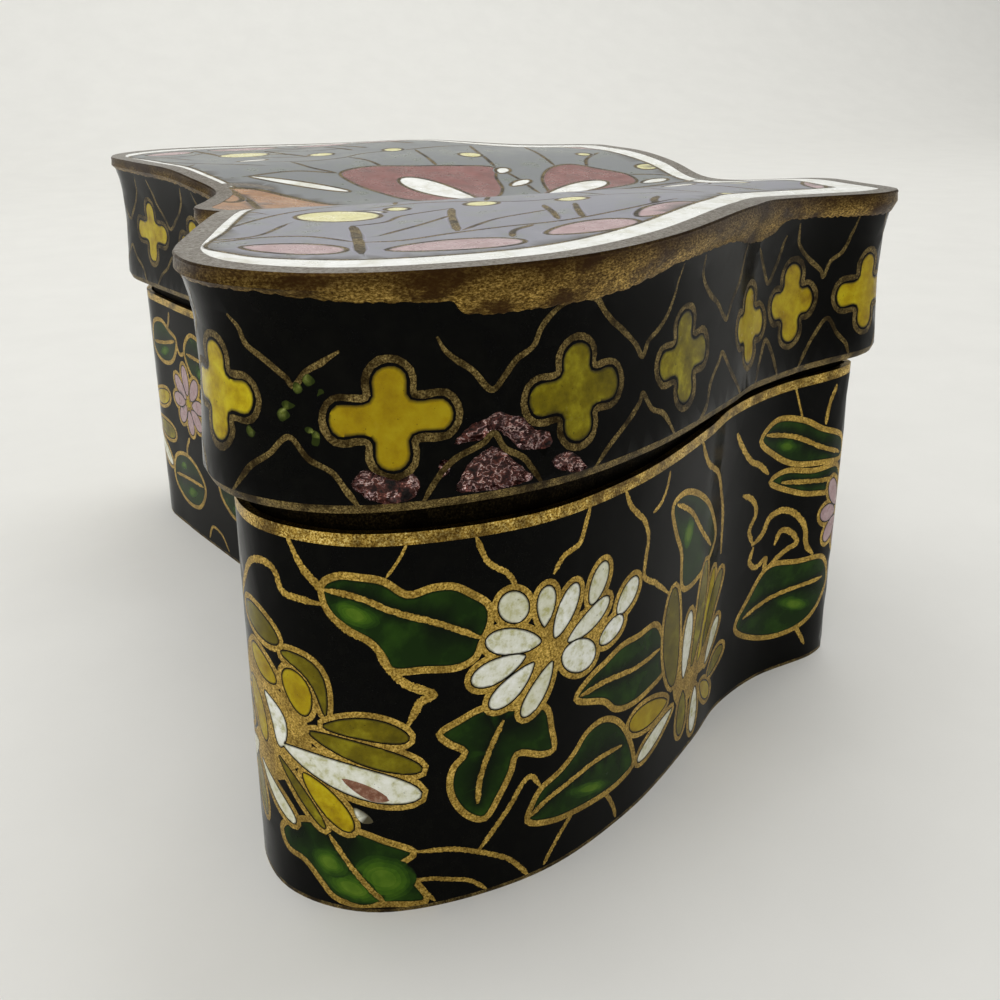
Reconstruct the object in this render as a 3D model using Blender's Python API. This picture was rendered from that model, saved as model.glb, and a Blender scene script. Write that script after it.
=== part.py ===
"""A butterfly-shaped cloisonne enamel box: a hollow base, its inner collar, and a lid that lifts off."""
import math

import bmesh
import bpy
import numpy as np
from mathutils import Vector

COLLECTION_NAME = "butterfly_box"
MM = 0.001

# Plan of the lid's lip, in mm. X runs from the head to the tail and Y out along the wing.
# One half is given, and the other is its mirror image.
WING_PLAN = (
    (-25.1, 0.0),    # front of the head
    (-23.5, 4.0),
    (-22.2, 7.4),    # notch beside the head
    (-24.2, 13.8),
    (-28.4, 27.0),   # leading edge of the forewing
    (-30.0, 34.0),
    (-28.7, 39.0),
    (-23.3, 43.6),
    (-11.8, 44.7),   # wing tip
    (-1.7, 41.4),
    (8.3, 35.3),
    (12.8, 32.0),    # notch between the wings
    (18.5, 29.6),
    (26.4, 28.3),
    (28.9, 26.6),    # corner of the hindwing
    (29.3, 21.0),
    (30.0, 10.0),
    (28.5, 0.0),     # tail
)
OUTLINE_POINTS = 144
SPAN_STEPS = 24            # samples between two plan points before they are spaced evenly
INSET_STEP = 0.1           # mm that an outline moves inwards at a time
EVENING = 0.5              # how strongly points are evened out along the outline at each step

# Heights, in mm
BASE_MOUTH_HEIGHT = 28.15  # above the surface that the box stands on
MOUTH_GAP = 2.3            # between the base's mouth and the lid's, which sits high on its collar
LID_HEIGHT = 13.55         # from the lid's mouth to its rim

# The lid's top falls to a valley along the body and swells on each wing
VALLEY_DEPTH = 2.6         # in the middle of the body
VALLEY_END_DEPTH = 1.6     # at the head and the tail
VALLEY_HALF_WIDTH = 20.0
VALLEY_HALF_LENGTH = 28.0
SWELL_HEIGHT = 0.85
SWELL_CENTRE = (5.0, 31.0)
SWELL_RADIUS = (11.0, 10.0)

# Hand-made mouths: the base's sags in the middle, the lid's dips by the notch
MOUTH_SAG = 0.7
SAG_CENTRE_X = -4.0
SAG_REACH = 26.0
MOUTH_DIP = 0.5
DIP_CENTRE_X = 16.0
DIP_REACH = 7.0

# Walls and fits, in mm
CLEARANCE = 0.3            # between pieces that touch or slide
EDGE_ROUND = 0.35          # small round at a metal edge
FLOOR_THICKNESS = 1.4
TOP_THICKNESS = 1.3
BASE_WALL = 1.45
BASE_LIP = 0.55            # wall left outside the rebate that holds the collar
BASE_MOUTH_INSET = 1.95    # how far the base's mouth stands inside the lid's lip
FOOT_INSET = 1.1
COLLAR_WALL = 0.9
COLLAR_SEATED = 6.0        # depth of the collar in the base
COLLAR_STAND = 5.0         # height of the collar above the base's mouth
LID_WAIST_INSET = 0.85
LID_MOUTH_INSET = 0.28
LID_MOUTH_ROUND = 0.7
LID_WAIST_RISE = 6.5       # height of the lid's waist above its mouth
RIM_WIDTH = 1.2            # width of the gilt rim seen from above
RIM_DROP = 2.4             # height of the gilt rim
RIM_FLARE_DROP = 0.9
RIM_FLARE_INSET = 0.35

GRID_STEP = 4.0            # spacing of the cuts that let the lid's top curve
SNAP = 0.05                # cuts closer than this to a point pass through it
SMOOTH_ANGLE = math.radians(35)

# Places that follow from the sizes above
LID_MOUTH_HEIGHT = BASE_MOUTH_HEIGHT + MOUTH_GAP
RIM_HEIGHT = LID_MOUTH_HEIGHT + LID_HEIGHT
BASE_REBATE_INSET = BASE_MOUTH_INSET + BASE_LIP
BASE_INNER_INSET = BASE_MOUTH_INSET + BASE_WALL
LEDGE_HEIGHT = BASE_MOUTH_HEIGHT - COLLAR_SEATED
COLLAR_OUTER_INSET = BASE_REBATE_INSET + CLEARANCE
COLLAR_INNER_INSET = COLLAR_OUTER_INSET + COLLAR_WALL
LID_INNER_INSET = COLLAR_OUTER_INSET - CLEARANCE
TOP_PLATE_INSET = RIM_WIDTH + CLEARANCE


# Plan outlines

def blend_between(before, start, end, after, share):
    """Point on a centripetal curve from start to end, at this share of the way."""
    knots = [0.0]
    for first, second in ((before, start), (start, end), (end, after)):
        knots.append(knots[-1] + math.sqrt(np.linalg.norm(second - first)))
    at = knots[1] + share * (knots[2] - knots[1])

    def mix(first, second, low, high):
        weight = (at - knots[low]) / (knots[high] - knots[low])
        return first * (1 - weight) + second * weight

    arriving = mix(mix(before, start, 0, 1), mix(start, end, 1, 2), 0, 2)
    leaving = mix(mix(start, end, 1, 2), mix(end, after, 2, 3), 1, 3)
    return mix(arriving, leaving, 1, 2)


def lip_outline():
    """Evenly spaced points round the lid's lip, anticlockwise from the head."""
    half = np.array(WING_PLAN)
    mirrored = half[-2:0:-1]
    plan = np.vstack((half * (1, -1), mirrored))
    count = len(plan)
    fine = []
    for index in range(count):
        around = [plan[(index + offset) % count] for offset in (-1, 0, 1, 2)]
        for step in range(SPAN_STEPS):
            fine.append(blend_between(*around, step / SPAN_STEPS))
    fine.append(fine[0])
    fine = np.array(fine)
    lengths = np.linalg.norm(np.diff(fine, axis=0), axis=1)
    travelled = np.concatenate(([0.0], np.cumsum(lengths)))
    wanted = np.linspace(0.0, travelled[-1], OUTLINE_POINTS, endpoint=False)
    even = np.column_stack([np.interp(wanted, travelled, fine[:, axis]) for axis in (0, 1)])
    middle = (even.max(axis=0) + even.min(axis=0)) / 2
    return even - middle


def inset_outline(outline, distance):
    """The outline moved inwards by a distance in mm, its points kept even so that corners stay clean."""
    steps = math.ceil(abs(distance) / INSET_STEP)
    points = outline
    for _ in range(steps):
        ahead = np.roll(points, -1, axis=0)
        behind = np.roll(points, 1, axis=0)
        along = ahead - behind
        along = along / np.linalg.norm(along, axis=1)[:, None]
        inwards = np.column_stack((-along[:, 1], along[:, 0]))
        drift = (ahead + behind) / 2 - points
        slide = (drift * along).sum(axis=1)[:, None] * along
        points = points + inwards * distance / steps + slide * EVENING
    return points


# Heights over the plan

def top_height(x, y):
    """Height of the lid's rim and top at a place in plan."""
    across = np.clip(1 - np.abs(y) / VALLEY_HALF_WIDTH, 0, 1)
    fall = across * across * (3 - 2 * across)
    along = np.clip(np.abs(x) / VALLEY_HALF_LENGTH, 0, 1)
    depth = VALLEY_DEPTH + (VALLEY_END_DEPTH - VALLEY_DEPTH) * along ** 2
    away_x = (x - SWELL_CENTRE[0]) / SWELL_RADIUS[0]
    away_y = (np.abs(y) - SWELL_CENTRE[1]) / SWELL_RADIUS[1]
    swell = SWELL_HEIGHT * np.exp(-away_x ** 2 - away_y ** 2)
    return RIM_HEIGHT - depth * fall + swell


def base_mouth_height(x, _y):
    """Height of the base's mouth, which sags towards the middle."""
    return BASE_MOUTH_HEIGHT + MOUTH_SAG * ((x - SAG_CENTRE_X) / SAG_REACH) ** 2


def lid_mouth_height(x, _y):
    """Height of the lid's mouth, which dips beside the notch."""
    return LID_MOUTH_HEIGHT - MOUTH_DIP * np.exp(-((x - DIP_CENTRE_X) / DIP_REACH) ** 2)


def above(height_at, rise):
    """A height function raised by rise, in mm."""
    return lambda x, y: height_at(x, y) + rise


def level(height):
    """A height function that is the same everywhere."""
    return lambda x, _y: np.full_like(x, height)


# Making solids

def loop_places(outline, inset, height_at):
    """World places, in metres, of one loop of a wall."""
    plan = inset_outline(outline, inset)
    heights = height_at(plan[:, 0], plan[:, 1])
    return [Vector((x, y, z)) * MM for (x, y), z in zip(plan, heights)]


def wall_from_loops(outline, profile):
    """Extrude one loop through a profile of (inset, height function); gives the bmesh and its end edges."""
    mesh = bmesh.new()
    places = loop_places(outline, *profile[0])
    verts = [mesh.verts.new(place) for place in places]
    first_edges = [mesh.edges.new((verts[i - 1], verts[i])) for i in range(len(verts))]
    edges = first_edges
    for inset, height_at in profile[1:]:
        made = bmesh.ops.extrude_edge_only(mesh, edges=edges)["geom"]
        new_verts = [item for item in made if isinstance(item, bmesh.types.BMVert)]
        edges = [item for item in made if isinstance(item, bmesh.types.BMEdge)]
        made_from = {tuple(vert.co): vert for vert in new_verts}
        ordered = [made_from[tuple(vert.co)] for vert in verts]
        for vert, place in zip(ordered, loop_places(outline, inset, height_at)):
            vert.co = place
        verts = ordered
    return mesh, first_edges, edges


def cap(mesh, edges):
    """Close a loop of edges with one face."""
    made = bmesh.ops.contextual_create(mesh, geom=edges)
    return made["faces"][0]


def curve_cap(mesh, face, height_at):
    """Cut a cap along a grid and lift it to a height function."""
    reach = max(max(abs(vert.co.x), abs(vert.co.y)) for vert in face.verts) / MM
    count = math.ceil(reach / GRID_STEP)
    faces = [face]
    for normal in (Vector((1, 0, 0)), Vector((0, 1, 0))):
        for index in range(-count, count + 1):
            geometry = set(faces)
            for piece in faces:
                geometry.update(piece.edges)
                geometry.update(piece.verts)
            cut = bmesh.ops.bisect_plane(
                mesh, geom=list(geometry), dist=SNAP * MM,
                plane_co=normal * index * GRID_STEP * MM, plane_no=normal,
            )
            faces = [item for item in cut["geom"] if isinstance(item, bmesh.types.BMFace)]
    for vert in {vert for piece in faces for vert in piece.verts}:
        vert.co.z = float(height_at(vert.co.x / MM, vert.co.y / MM)) * MM


def ring_from_profile(outline, profile):
    """A closed ring whose section is the profile."""
    mesh, first_edges, last_edges = wall_from_loops(outline, profile)
    bmesh.ops.bridge_loops(mesh, edges=first_edges + last_edges)
    return mesh


def finish_object(name, mesh, material):
    """Turn a bmesh into a named object in the box's collection."""
    bmesh.ops.recalc_face_normals(mesh, faces=mesh.faces)
    if mesh.calc_volume(signed=True) < 0:
        bmesh.ops.reverse_faces(mesh, faces=mesh.faces)
    data = bpy.data.meshes.new(name)
    mesh.to_mesh(data)
    mesh.free()
    data.shade_smooth()
    data.set_sharp_from_angle(angle=SMOOTH_ANGLE)
    data.materials.append(material)
    made = bpy.data.objects.new(name, data)
    bpy.data.collections[COLLECTION_NAME].objects.link(made)
    return made


def make_material(name, colour, roughness, metallic):
    """A plain Principled material."""
    material = bpy.data.materials.new(name)
    material.use_nodes = True
    shader = material.node_tree.nodes["Principled BSDF"]
    shader.inputs["Base Color"].default_value = (*colour, 1.0)
    shader.inputs["Roughness"].default_value = roughness
    shader.inputs["Metallic"].default_value = metallic
    return material


# The four pieces

def make_base_shell(outline):
    """Enamelled base: flat floor, wall, and a rebate inside the mouth for the collar."""
    profile = (
        (FOOT_INSET + EDGE_ROUND, level(0.0)),
        (FOOT_INSET, level(EDGE_ROUND)),
        (BASE_MOUTH_INSET, above(base_mouth_height, -EDGE_ROUND)),
        (BASE_MOUTH_INSET + EDGE_ROUND / 2, base_mouth_height),
        (BASE_REBATE_INSET, base_mouth_height),
        (BASE_REBATE_INSET, level(LEDGE_HEIGHT)),
        (BASE_INNER_INSET, level(LEDGE_HEIGHT)),
        (BASE_INNER_INSET, level(FLOOR_THICKNESS)),
    )
    mesh, underside, floor = wall_from_loops(outline, profile)
    cap(mesh, underside)
    cap(mesh, floor)
    material = make_material("base_enamel", (0.012, 0.013, 0.012), 0.15, 0.0)
    return finish_object("base_shell", mesh, material)


def make_inner_collar(outline):
    """Gilt collar that stands in the base's rebate and guides the lid."""
    bottom = level(LEDGE_HEIGHT + CLEARANCE)
    top = above(base_mouth_height, COLLAR_STAND)
    profile = (
        (COLLAR_OUTER_INSET, bottom),
        (COLLAR_OUTER_INSET, top),
        (COLLAR_INNER_INSET, top),
        (COLLAR_INNER_INSET, bottom),
    )
    mesh = ring_from_profile(outline, profile)
    material = make_material("collar_gilt", (0.45, 0.30, 0.10), 0.35, 1.0)
    return finish_object("inner_collar", mesh, material)


def make_lid_shell(outline):
    """Enamelled lid: a waisted wall and a curved top, stepped in behind the gilt rim."""
    rim_seat = above(top_height, -RIM_DROP - CLEARANCE)
    profile = (
        (LID_INNER_INSET, above(top_height, -TOP_THICKNESS)),
        (LID_INNER_INSET, lid_mouth_height),
        (LID_MOUTH_INSET + LID_MOUTH_ROUND / 2, lid_mouth_height),
        (LID_MOUTH_INSET, above(lid_mouth_height, LID_MOUTH_ROUND)),
        (LID_WAIST_INSET, above(lid_mouth_height, LID_WAIST_RISE)),
        (LID_WAIST_INSET, rim_seat),
        (TOP_PLATE_INSET, rim_seat),
        (TOP_PLATE_INSET, top_height),
    )
    mesh, ceiling_edges, top_edges = wall_from_loops(outline, profile)
    ceiling = cap(mesh, ceiling_edges)
    curve_cap(mesh, ceiling, above(top_height, -TOP_THICKNESS))
    top = cap(mesh, top_edges)
    curve_cap(mesh, top, top_height)
    material = make_material("lid_enamel", (0.27, 0.26, 0.36), 0.2, 0.0)
    return finish_object("lid_shell", mesh, material)


def make_lid_rim(outline):
    """Gilt band that flares out round the lid's upper edge."""
    profile = (
        (LID_WAIST_INSET, above(top_height, -RIM_DROP)),
        (RIM_FLARE_INSET, above(top_height, -RIM_FLARE_DROP)),
        (0.0, above(top_height, -EDGE_ROUND / 2)),
        (EDGE_ROUND / 2, top_height),
        (RIM_WIDTH, top_height),
        (RIM_WIDTH, above(top_height, -RIM_DROP)),
    )
    mesh = ring_from_profile(outline, profile)
    material = make_material("rim_brass", (0.30, 0.20, 0.07), 0.4, 1.0)
    return finish_object("lid_rim", mesh, material)


def clear_scene():
    """Remove every object that the scene starts with."""
    for old in list(bpy.data.objects):
        bpy.data.objects.remove(old, do_unlink=True)


def main():
    clear_scene()
    collection = bpy.data.collections.new(COLLECTION_NAME)
    bpy.context.scene.collection.children.link(collection)
    outline = lip_outline()
    make_base_shell(outline)
    make_inner_collar(outline)
    make_lid_shell(outline)
    make_lid_rim(outline)


main()
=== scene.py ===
"""Looks of a butterfly-shaped cloisonne box: enamel cells between brass wires on black, and a winged lid."""
import math
import random

import bmesh
import bpy
import numpy as np
from mathutils import Matrix, Vector
from mathutils.geometry import delaunay_2d_cdt


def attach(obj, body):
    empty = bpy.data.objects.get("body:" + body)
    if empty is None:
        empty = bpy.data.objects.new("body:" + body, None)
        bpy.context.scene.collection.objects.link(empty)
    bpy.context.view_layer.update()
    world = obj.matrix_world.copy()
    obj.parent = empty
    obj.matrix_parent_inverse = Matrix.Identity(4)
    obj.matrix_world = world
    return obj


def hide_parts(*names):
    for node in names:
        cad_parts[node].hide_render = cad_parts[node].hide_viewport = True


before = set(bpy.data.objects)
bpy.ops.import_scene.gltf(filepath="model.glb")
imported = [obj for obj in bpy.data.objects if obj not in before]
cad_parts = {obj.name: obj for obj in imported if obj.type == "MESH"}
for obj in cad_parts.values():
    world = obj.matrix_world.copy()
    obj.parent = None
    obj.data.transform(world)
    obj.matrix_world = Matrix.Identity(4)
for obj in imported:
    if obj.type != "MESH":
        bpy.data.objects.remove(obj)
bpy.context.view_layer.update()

MM = 0.001

# Camera, fitted to the photograph: place in mm, turns in radians, lens in pixels of a 1000-pixel frame
CAMERA_PLACE = (-34.57, -93.86, 53.74)
CAMERA_YAW = 0.3887
CAMERA_PITCH = 0.4128
CAMERA_ROLL = -0.0043
CAMERA_LENS_PIXELS = 1001.6
FRAME_PIXELS = 1000
SENSOR_MM = 36.0

# Plan of the lid's lip in mm, as in the solids
WING_PLAN = (
    (-25.1, 0.0), (-23.5, 4.0), (-22.2, 7.4), (-24.2, 13.8), (-28.4, 27.0), (-30.0, 34.0),
    (-28.7, 39.0), (-23.3, 43.6), (-11.8, 44.7), (-1.7, 41.4), (8.3, 35.3), (12.8, 32.0),
    (18.5, 29.6), (26.4, 28.3), (28.9, 26.6), (29.3, 21.0), (30.0, 10.0), (28.5, 0.0),
)
OUTLINE_POINTS = 288
SPAN_STEPS = 32
INSET_STEP = 0.1
EVENING = 0.5              # how strongly points are evened out along an outline at each step
FINE_STEP = 0.05           # mm that a small shape's outline moves at a time
LOOP_STEP = 0.25           # mm between the outlines kept ready inside the lip
LOOP_COUNT = 22

# Heights in mm, as in the solids
BASE_MOUTH_HEIGHT = 28.15
LID_MOUTH_HEIGHT = 30.45
RIM_HEIGHT = 44.0
VALLEY_DEPTH = 2.6
VALLEY_END_DEPTH = 1.6
VALLEY_HALF_WIDTH = 20.0
VALLEY_HALF_LENGTH = 28.0
SWELL_HEIGHT = 0.85
SWELL_CENTRE = (5.0, 31.0)
SWELL_RADIUS = (11.0, 10.0)
MOUTH_SAG = 0.7
SAG_CENTRE_X = -4.0
SAG_REACH = 26.0
MOUTH_DIP = 0.5
DIP_CENTRE_X = 16.0
DIP_REACH = 7.0

# Walls in mm, as in the solids
FOOT_INSET = 1.1
BASE_MOUTH_INSET = 1.95
BASE_REBATE_INSET = 2.5
BASE_INNER_INSET = 3.4
LEDGE_HEIGHT = 22.15
FLOOR_THICKNESS = 1.4
LID_MOUTH_INSET = 0.28
LID_MOUTH_ROUND = 0.7
LID_WAIST_INSET = 0.85
LID_WAIST_RISE = 6.5
LID_INNER_INSET = 2.5
TOP_THICKNESS = 1.3
EDGE_ROUND = 0.35

# Sizes of the drawing, in mm
FINE_WIRE = 0.28
SHADE_LINE_WIDTH = 0.17              # painted shade line where enamel meets its wire
GILT_MOUTH = 0.8
GILT_FOOT = 0.3
GILT_LID_MOUTH = 0.6
LID_WIRE = 0.36
WIRE_END = 0.4             # share of its width that a wire has at its ends
WIRE_SWELL = 6.0           # how soon it reaches its full width
WIRE_UNEVEN = (0.8, 1.18)  # least and greatest share of the width along a hand-bent wire
BEVEL_WIDTH = 1.7          # bare metal round the lid's top
WALL_TOP_DROP = 0.5        # the lid's wall stops this far under the rim's top
WALL_GRID = (1.5, 2.6)     # spacing of extra points, along and up
TOP_GRID = 1.6
POINTS_AT_ONCE = 3000      # so that no list of points grows too big for the memory
CHIP_GRID = 0.32           # spacing of extra points in the chipped patches
CHIP_DEPTH = 0.36
LONGEST_SIDE = 0.9         # longest straight side before a wrapped shape is broken up
TOP_DROP = 0.05            # the enamelled top lies this far under the rim's top

# Finishes, in the order of the pieces' material slots
(
    BLACK, BRASS, GILT, YELLOW, OLIVE, WHITE, LEAF, LAVENDER, PINK, CREAM, RED,
    ORANGE, BEVEL, COPPER, LINING, SPRIG, OLD_WIRE, BAND, RUSSET, SHADED, CLEAN_WHITE,
) = range(21)
METALS = {BRASS, GILT, BEVEL, OLD_WIRE, BAND, SHADED}


# Plan outlines

def blend_between(before, start, end, after, share):
    """Point on a centripetal curve from start to end, at this share of the way."""
    knots = [0.0]
    for first, second in ((before, start), (start, end), (end, after)):
        knots.append(knots[-1] + math.sqrt(np.linalg.norm(second - first)))
    at = knots[1] + share * (knots[2] - knots[1])

    def mix(first, second, low, high):
        weight = (at - knots[low]) / (knots[high] - knots[low])
        return first * (1 - weight) + second * weight

    arriving = mix(mix(before, start, 0, 1), mix(start, end, 1, 2), 0, 2)
    leaving = mix(mix(start, end, 1, 2), mix(end, after, 2, 3), 1, 3)
    return mix(arriving, leaving, 1, 2)


def closed_curve(points, steps):
    """Close points round a smooth closed curve through the given ones."""
    plan = np.array(points, float)
    count = len(plan)
    fine = []
    for index in range(count):
        around = [plan[(index + offset) % count] for offset in (-1, 0, 1, 2)]
        fine.extend(blend_between(*around, step / steps) for step in range(steps))
    return np.array(fine)


def open_curve(points, steps=10):
    """Close points along a smooth curve through the given ones."""
    plan = np.array(points, float)
    if len(plan) == 2:
        return plan
    ends = np.vstack((2 * plan[0] - plan[1], plan, 2 * plan[-1] - plan[-2]))
    fine = []
    for index in range(1, len(ends) - 2):
        around = [ends[index + offset] for offset in (-1, 0, 1, 2)]
        fine.extend(blend_between(*around, step / steps) for step in range(steps))
    fine.append(plan[-1])
    return np.array(fine)


def evenly(points, count):
    """Evenly spaced points round a closed polygon; also its length."""
    ring = np.vstack((points, points[:1]))
    travelled = np.concatenate(([0.0], np.cumsum(np.linalg.norm(np.diff(ring, axis=0), axis=1))))
    wanted = np.linspace(0.0, travelled[-1], count, endpoint=False)
    even = np.column_stack([np.interp(wanted, travelled, ring[:, axis]) for axis in (0, 1)])
    return even, travelled[-1]


def inset_outline(outline, distance, step=INSET_STEP):
    """A closed anticlockwise outline moved inwards, its points kept even so that corners stay clean."""
    points = outline
    steps = max(1, math.ceil(abs(distance) / step))
    for _ in range(steps):
        ahead = np.roll(points, -1, axis=0)
        behind = np.roll(points, 1, axis=0)
        along = ahead - behind
        along = along / (np.linalg.norm(along, axis=1)[:, None] + 1e-12)
        inwards = np.column_stack((-along[:, 1], along[:, 0]))
        drift = (ahead + behind) / 2 - points
        slide = (drift * along).sum(axis=1)[:, None] * along
        points = points + inwards * distance / steps + slide * EVENING
    return points


def lip_outline():
    """Lip of the lid, anticlockwise from the head, and its length."""
    half = np.array(WING_PLAN)
    plan = np.vstack((half * (1, -1), half[-2:0:-1]))
    even, lap = evenly(closed_curve(plan, SPAN_STEPS), OUTLINE_POINTS)
    return even - (even.max(axis=0) + even.min(axis=0)) / 2, lap


LIP, LAP = lip_outline()
LOOPS = np.array([inset_outline(LIP, index * LOOP_STEP) for index in range(LOOP_COUNT)])


def plan_place(along, inset):
    """Plan places at distances along the lip and insets from it, all in mm."""
    along = np.atleast_1d(np.asarray(along, float))
    inset = np.broadcast_to(np.asarray(inset, float), along.shape)
    at = (along / LAP % 1.0) * OUTLINE_POINTS
    index = np.floor(at).astype(int)
    share = (at - index)[:, None]
    deep = np.clip(inset / LOOP_STEP, 0, LOOP_COUNT - 1.001)
    low = np.floor(deep).astype(int)
    between = (deep - low)[:, None]

    def on_loop(loop):
        first, start, end, last = (LOOPS[loop, (index + step) % OUTLINE_POINTS] for step in (-1, 0, 1, 2))
        turn = (2 * first - 5 * start + 4 * end - last) * share ** 2
        twist = (3 * start - first - 3 * end + last) * share ** 3
        return 0.5 * (2 * start + (end - first) * share + turn + twist)

    return on_loop(low) * (1 - between) + on_loop(low + 1) * between


# Heights over the plan

def top_height(x, y):
    """Height of the lid's rim and top."""
    across = np.clip(1 - np.abs(y) / VALLEY_HALF_WIDTH, 0, 1)
    fall = across * across * (3 - 2 * across)
    along = np.clip(np.abs(x) / VALLEY_HALF_LENGTH, 0, 1)
    depth = VALLEY_DEPTH + (VALLEY_END_DEPTH - VALLEY_DEPTH) * along ** 2
    away_x = (x - SWELL_CENTRE[0]) / SWELL_RADIUS[0]
    away_y = (np.abs(y) - SWELL_CENTRE[1]) / SWELL_RADIUS[1]
    return RIM_HEIGHT - depth * fall + SWELL_HEIGHT * np.exp(-away_x ** 2 - away_y ** 2)


def base_mouth_height(x, _y):
    """Height of the base's mouth."""
    return BASE_MOUTH_HEIGHT + MOUTH_SAG * ((x - SAG_CENTRE_X) / SAG_REACH) ** 2


def lid_mouth_height(x, _y):
    """Height of the lid's mouth."""
    return LID_MOUTH_HEIGHT - MOUTH_DIP * np.exp(-((x - DIP_CENTRE_X) / DIP_REACH) ** 2)


def above(height_at, rise):
    """A height function raised by rise, in mm."""
    return lambda x, y: height_at(x, y) + rise


def level(height):
    """A height function that is the same everywhere."""
    return lambda x, _y: np.full_like(x, height)


# Walls that a flat drawing is wrapped on: (along the lip, up from the wall's foot), in mm

def on_base_wall(along, up):
    """Places in mm on the base's outer wall."""
    share = np.clip(up / BASE_MOUTH_HEIGHT, 0, 1)
    inset = FOOT_INSET + (BASE_MOUTH_INSET - FOOT_INSET) * share
    plan = plan_place(along, inset)
    height = base_mouth_height(plan[:, 0], plan[:, 1]) * up / BASE_MOUTH_HEIGHT
    return np.column_stack((plan, height))


LID_WALL_HEIGHT = RIM_HEIGHT - WALL_TOP_DROP - LID_MOUTH_HEIGHT
LID_WALL_RISES = (0.0, LID_MOUTH_ROUND, 3.2, LID_WAIST_RISE, 10.3, 12.1, LID_WALL_HEIGHT)
LID_WALL_INSETS = (LID_MOUTH_INSET + 0.3, LID_MOUTH_INSET, 0.55, LID_WAIST_INSET, LID_WAIST_INSET, 0.5, 0.2)


def lid_wall_inset(up):
    """Inset of the lid's waisted wall."""
    return np.interp(up, LID_WALL_RISES, LID_WALL_INSETS)


def on_lid_wall(along, up):
    """Places in mm on the lid's outer wall."""
    plan = plan_place(along, lid_wall_inset(up))
    foot = lid_mouth_height(plan[:, 0], plan[:, 1])
    reach = top_height(plan[:, 0], plan[:, 1]) - WALL_TOP_DROP - foot
    return np.column_stack((plan, foot + reach * up / LID_WALL_HEIGHT))


def on_lid_top(x, y):
    """Places in mm on the lid's top."""
    return np.column_stack((x, y, top_height(x, y) - TOP_DROP))


# Flat drawing: shapes painted one over another, then cut into one sheet

def short_sides(points):
    """A closed polygon with its long sides broken into short ones, so that it can bend."""
    broken = []
    for start, end in zip(points, np.roll(points, -1, axis=0)):
        pieces = max(1, math.ceil(np.linalg.norm(end - start) / LONGEST_SIDE - 1e-6))
        broken.extend(start + (end - start) * piece / pieces for piece in range(pieces))
    return np.array(broken)


def times_round(points, outline):
    """How many times a closed outline turns round each point."""
    point = points[:, None]
    start = outline[None]
    end = np.roll(outline, -1, axis=0)[None]
    run = end - start
    reach = point - start
    left = run[..., 0] * reach[..., 1] - run[..., 1] * reach[..., 0] > 0
    rises = (start[..., 1] <= point[..., 1]) & (end[..., 1] > point[..., 1])
    falls = (start[..., 1] > point[..., 1]) & (end[..., 1] <= point[..., 1])
    return (rises & left).sum(axis=1) - (falls & ~left).sum(axis=1)


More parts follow.
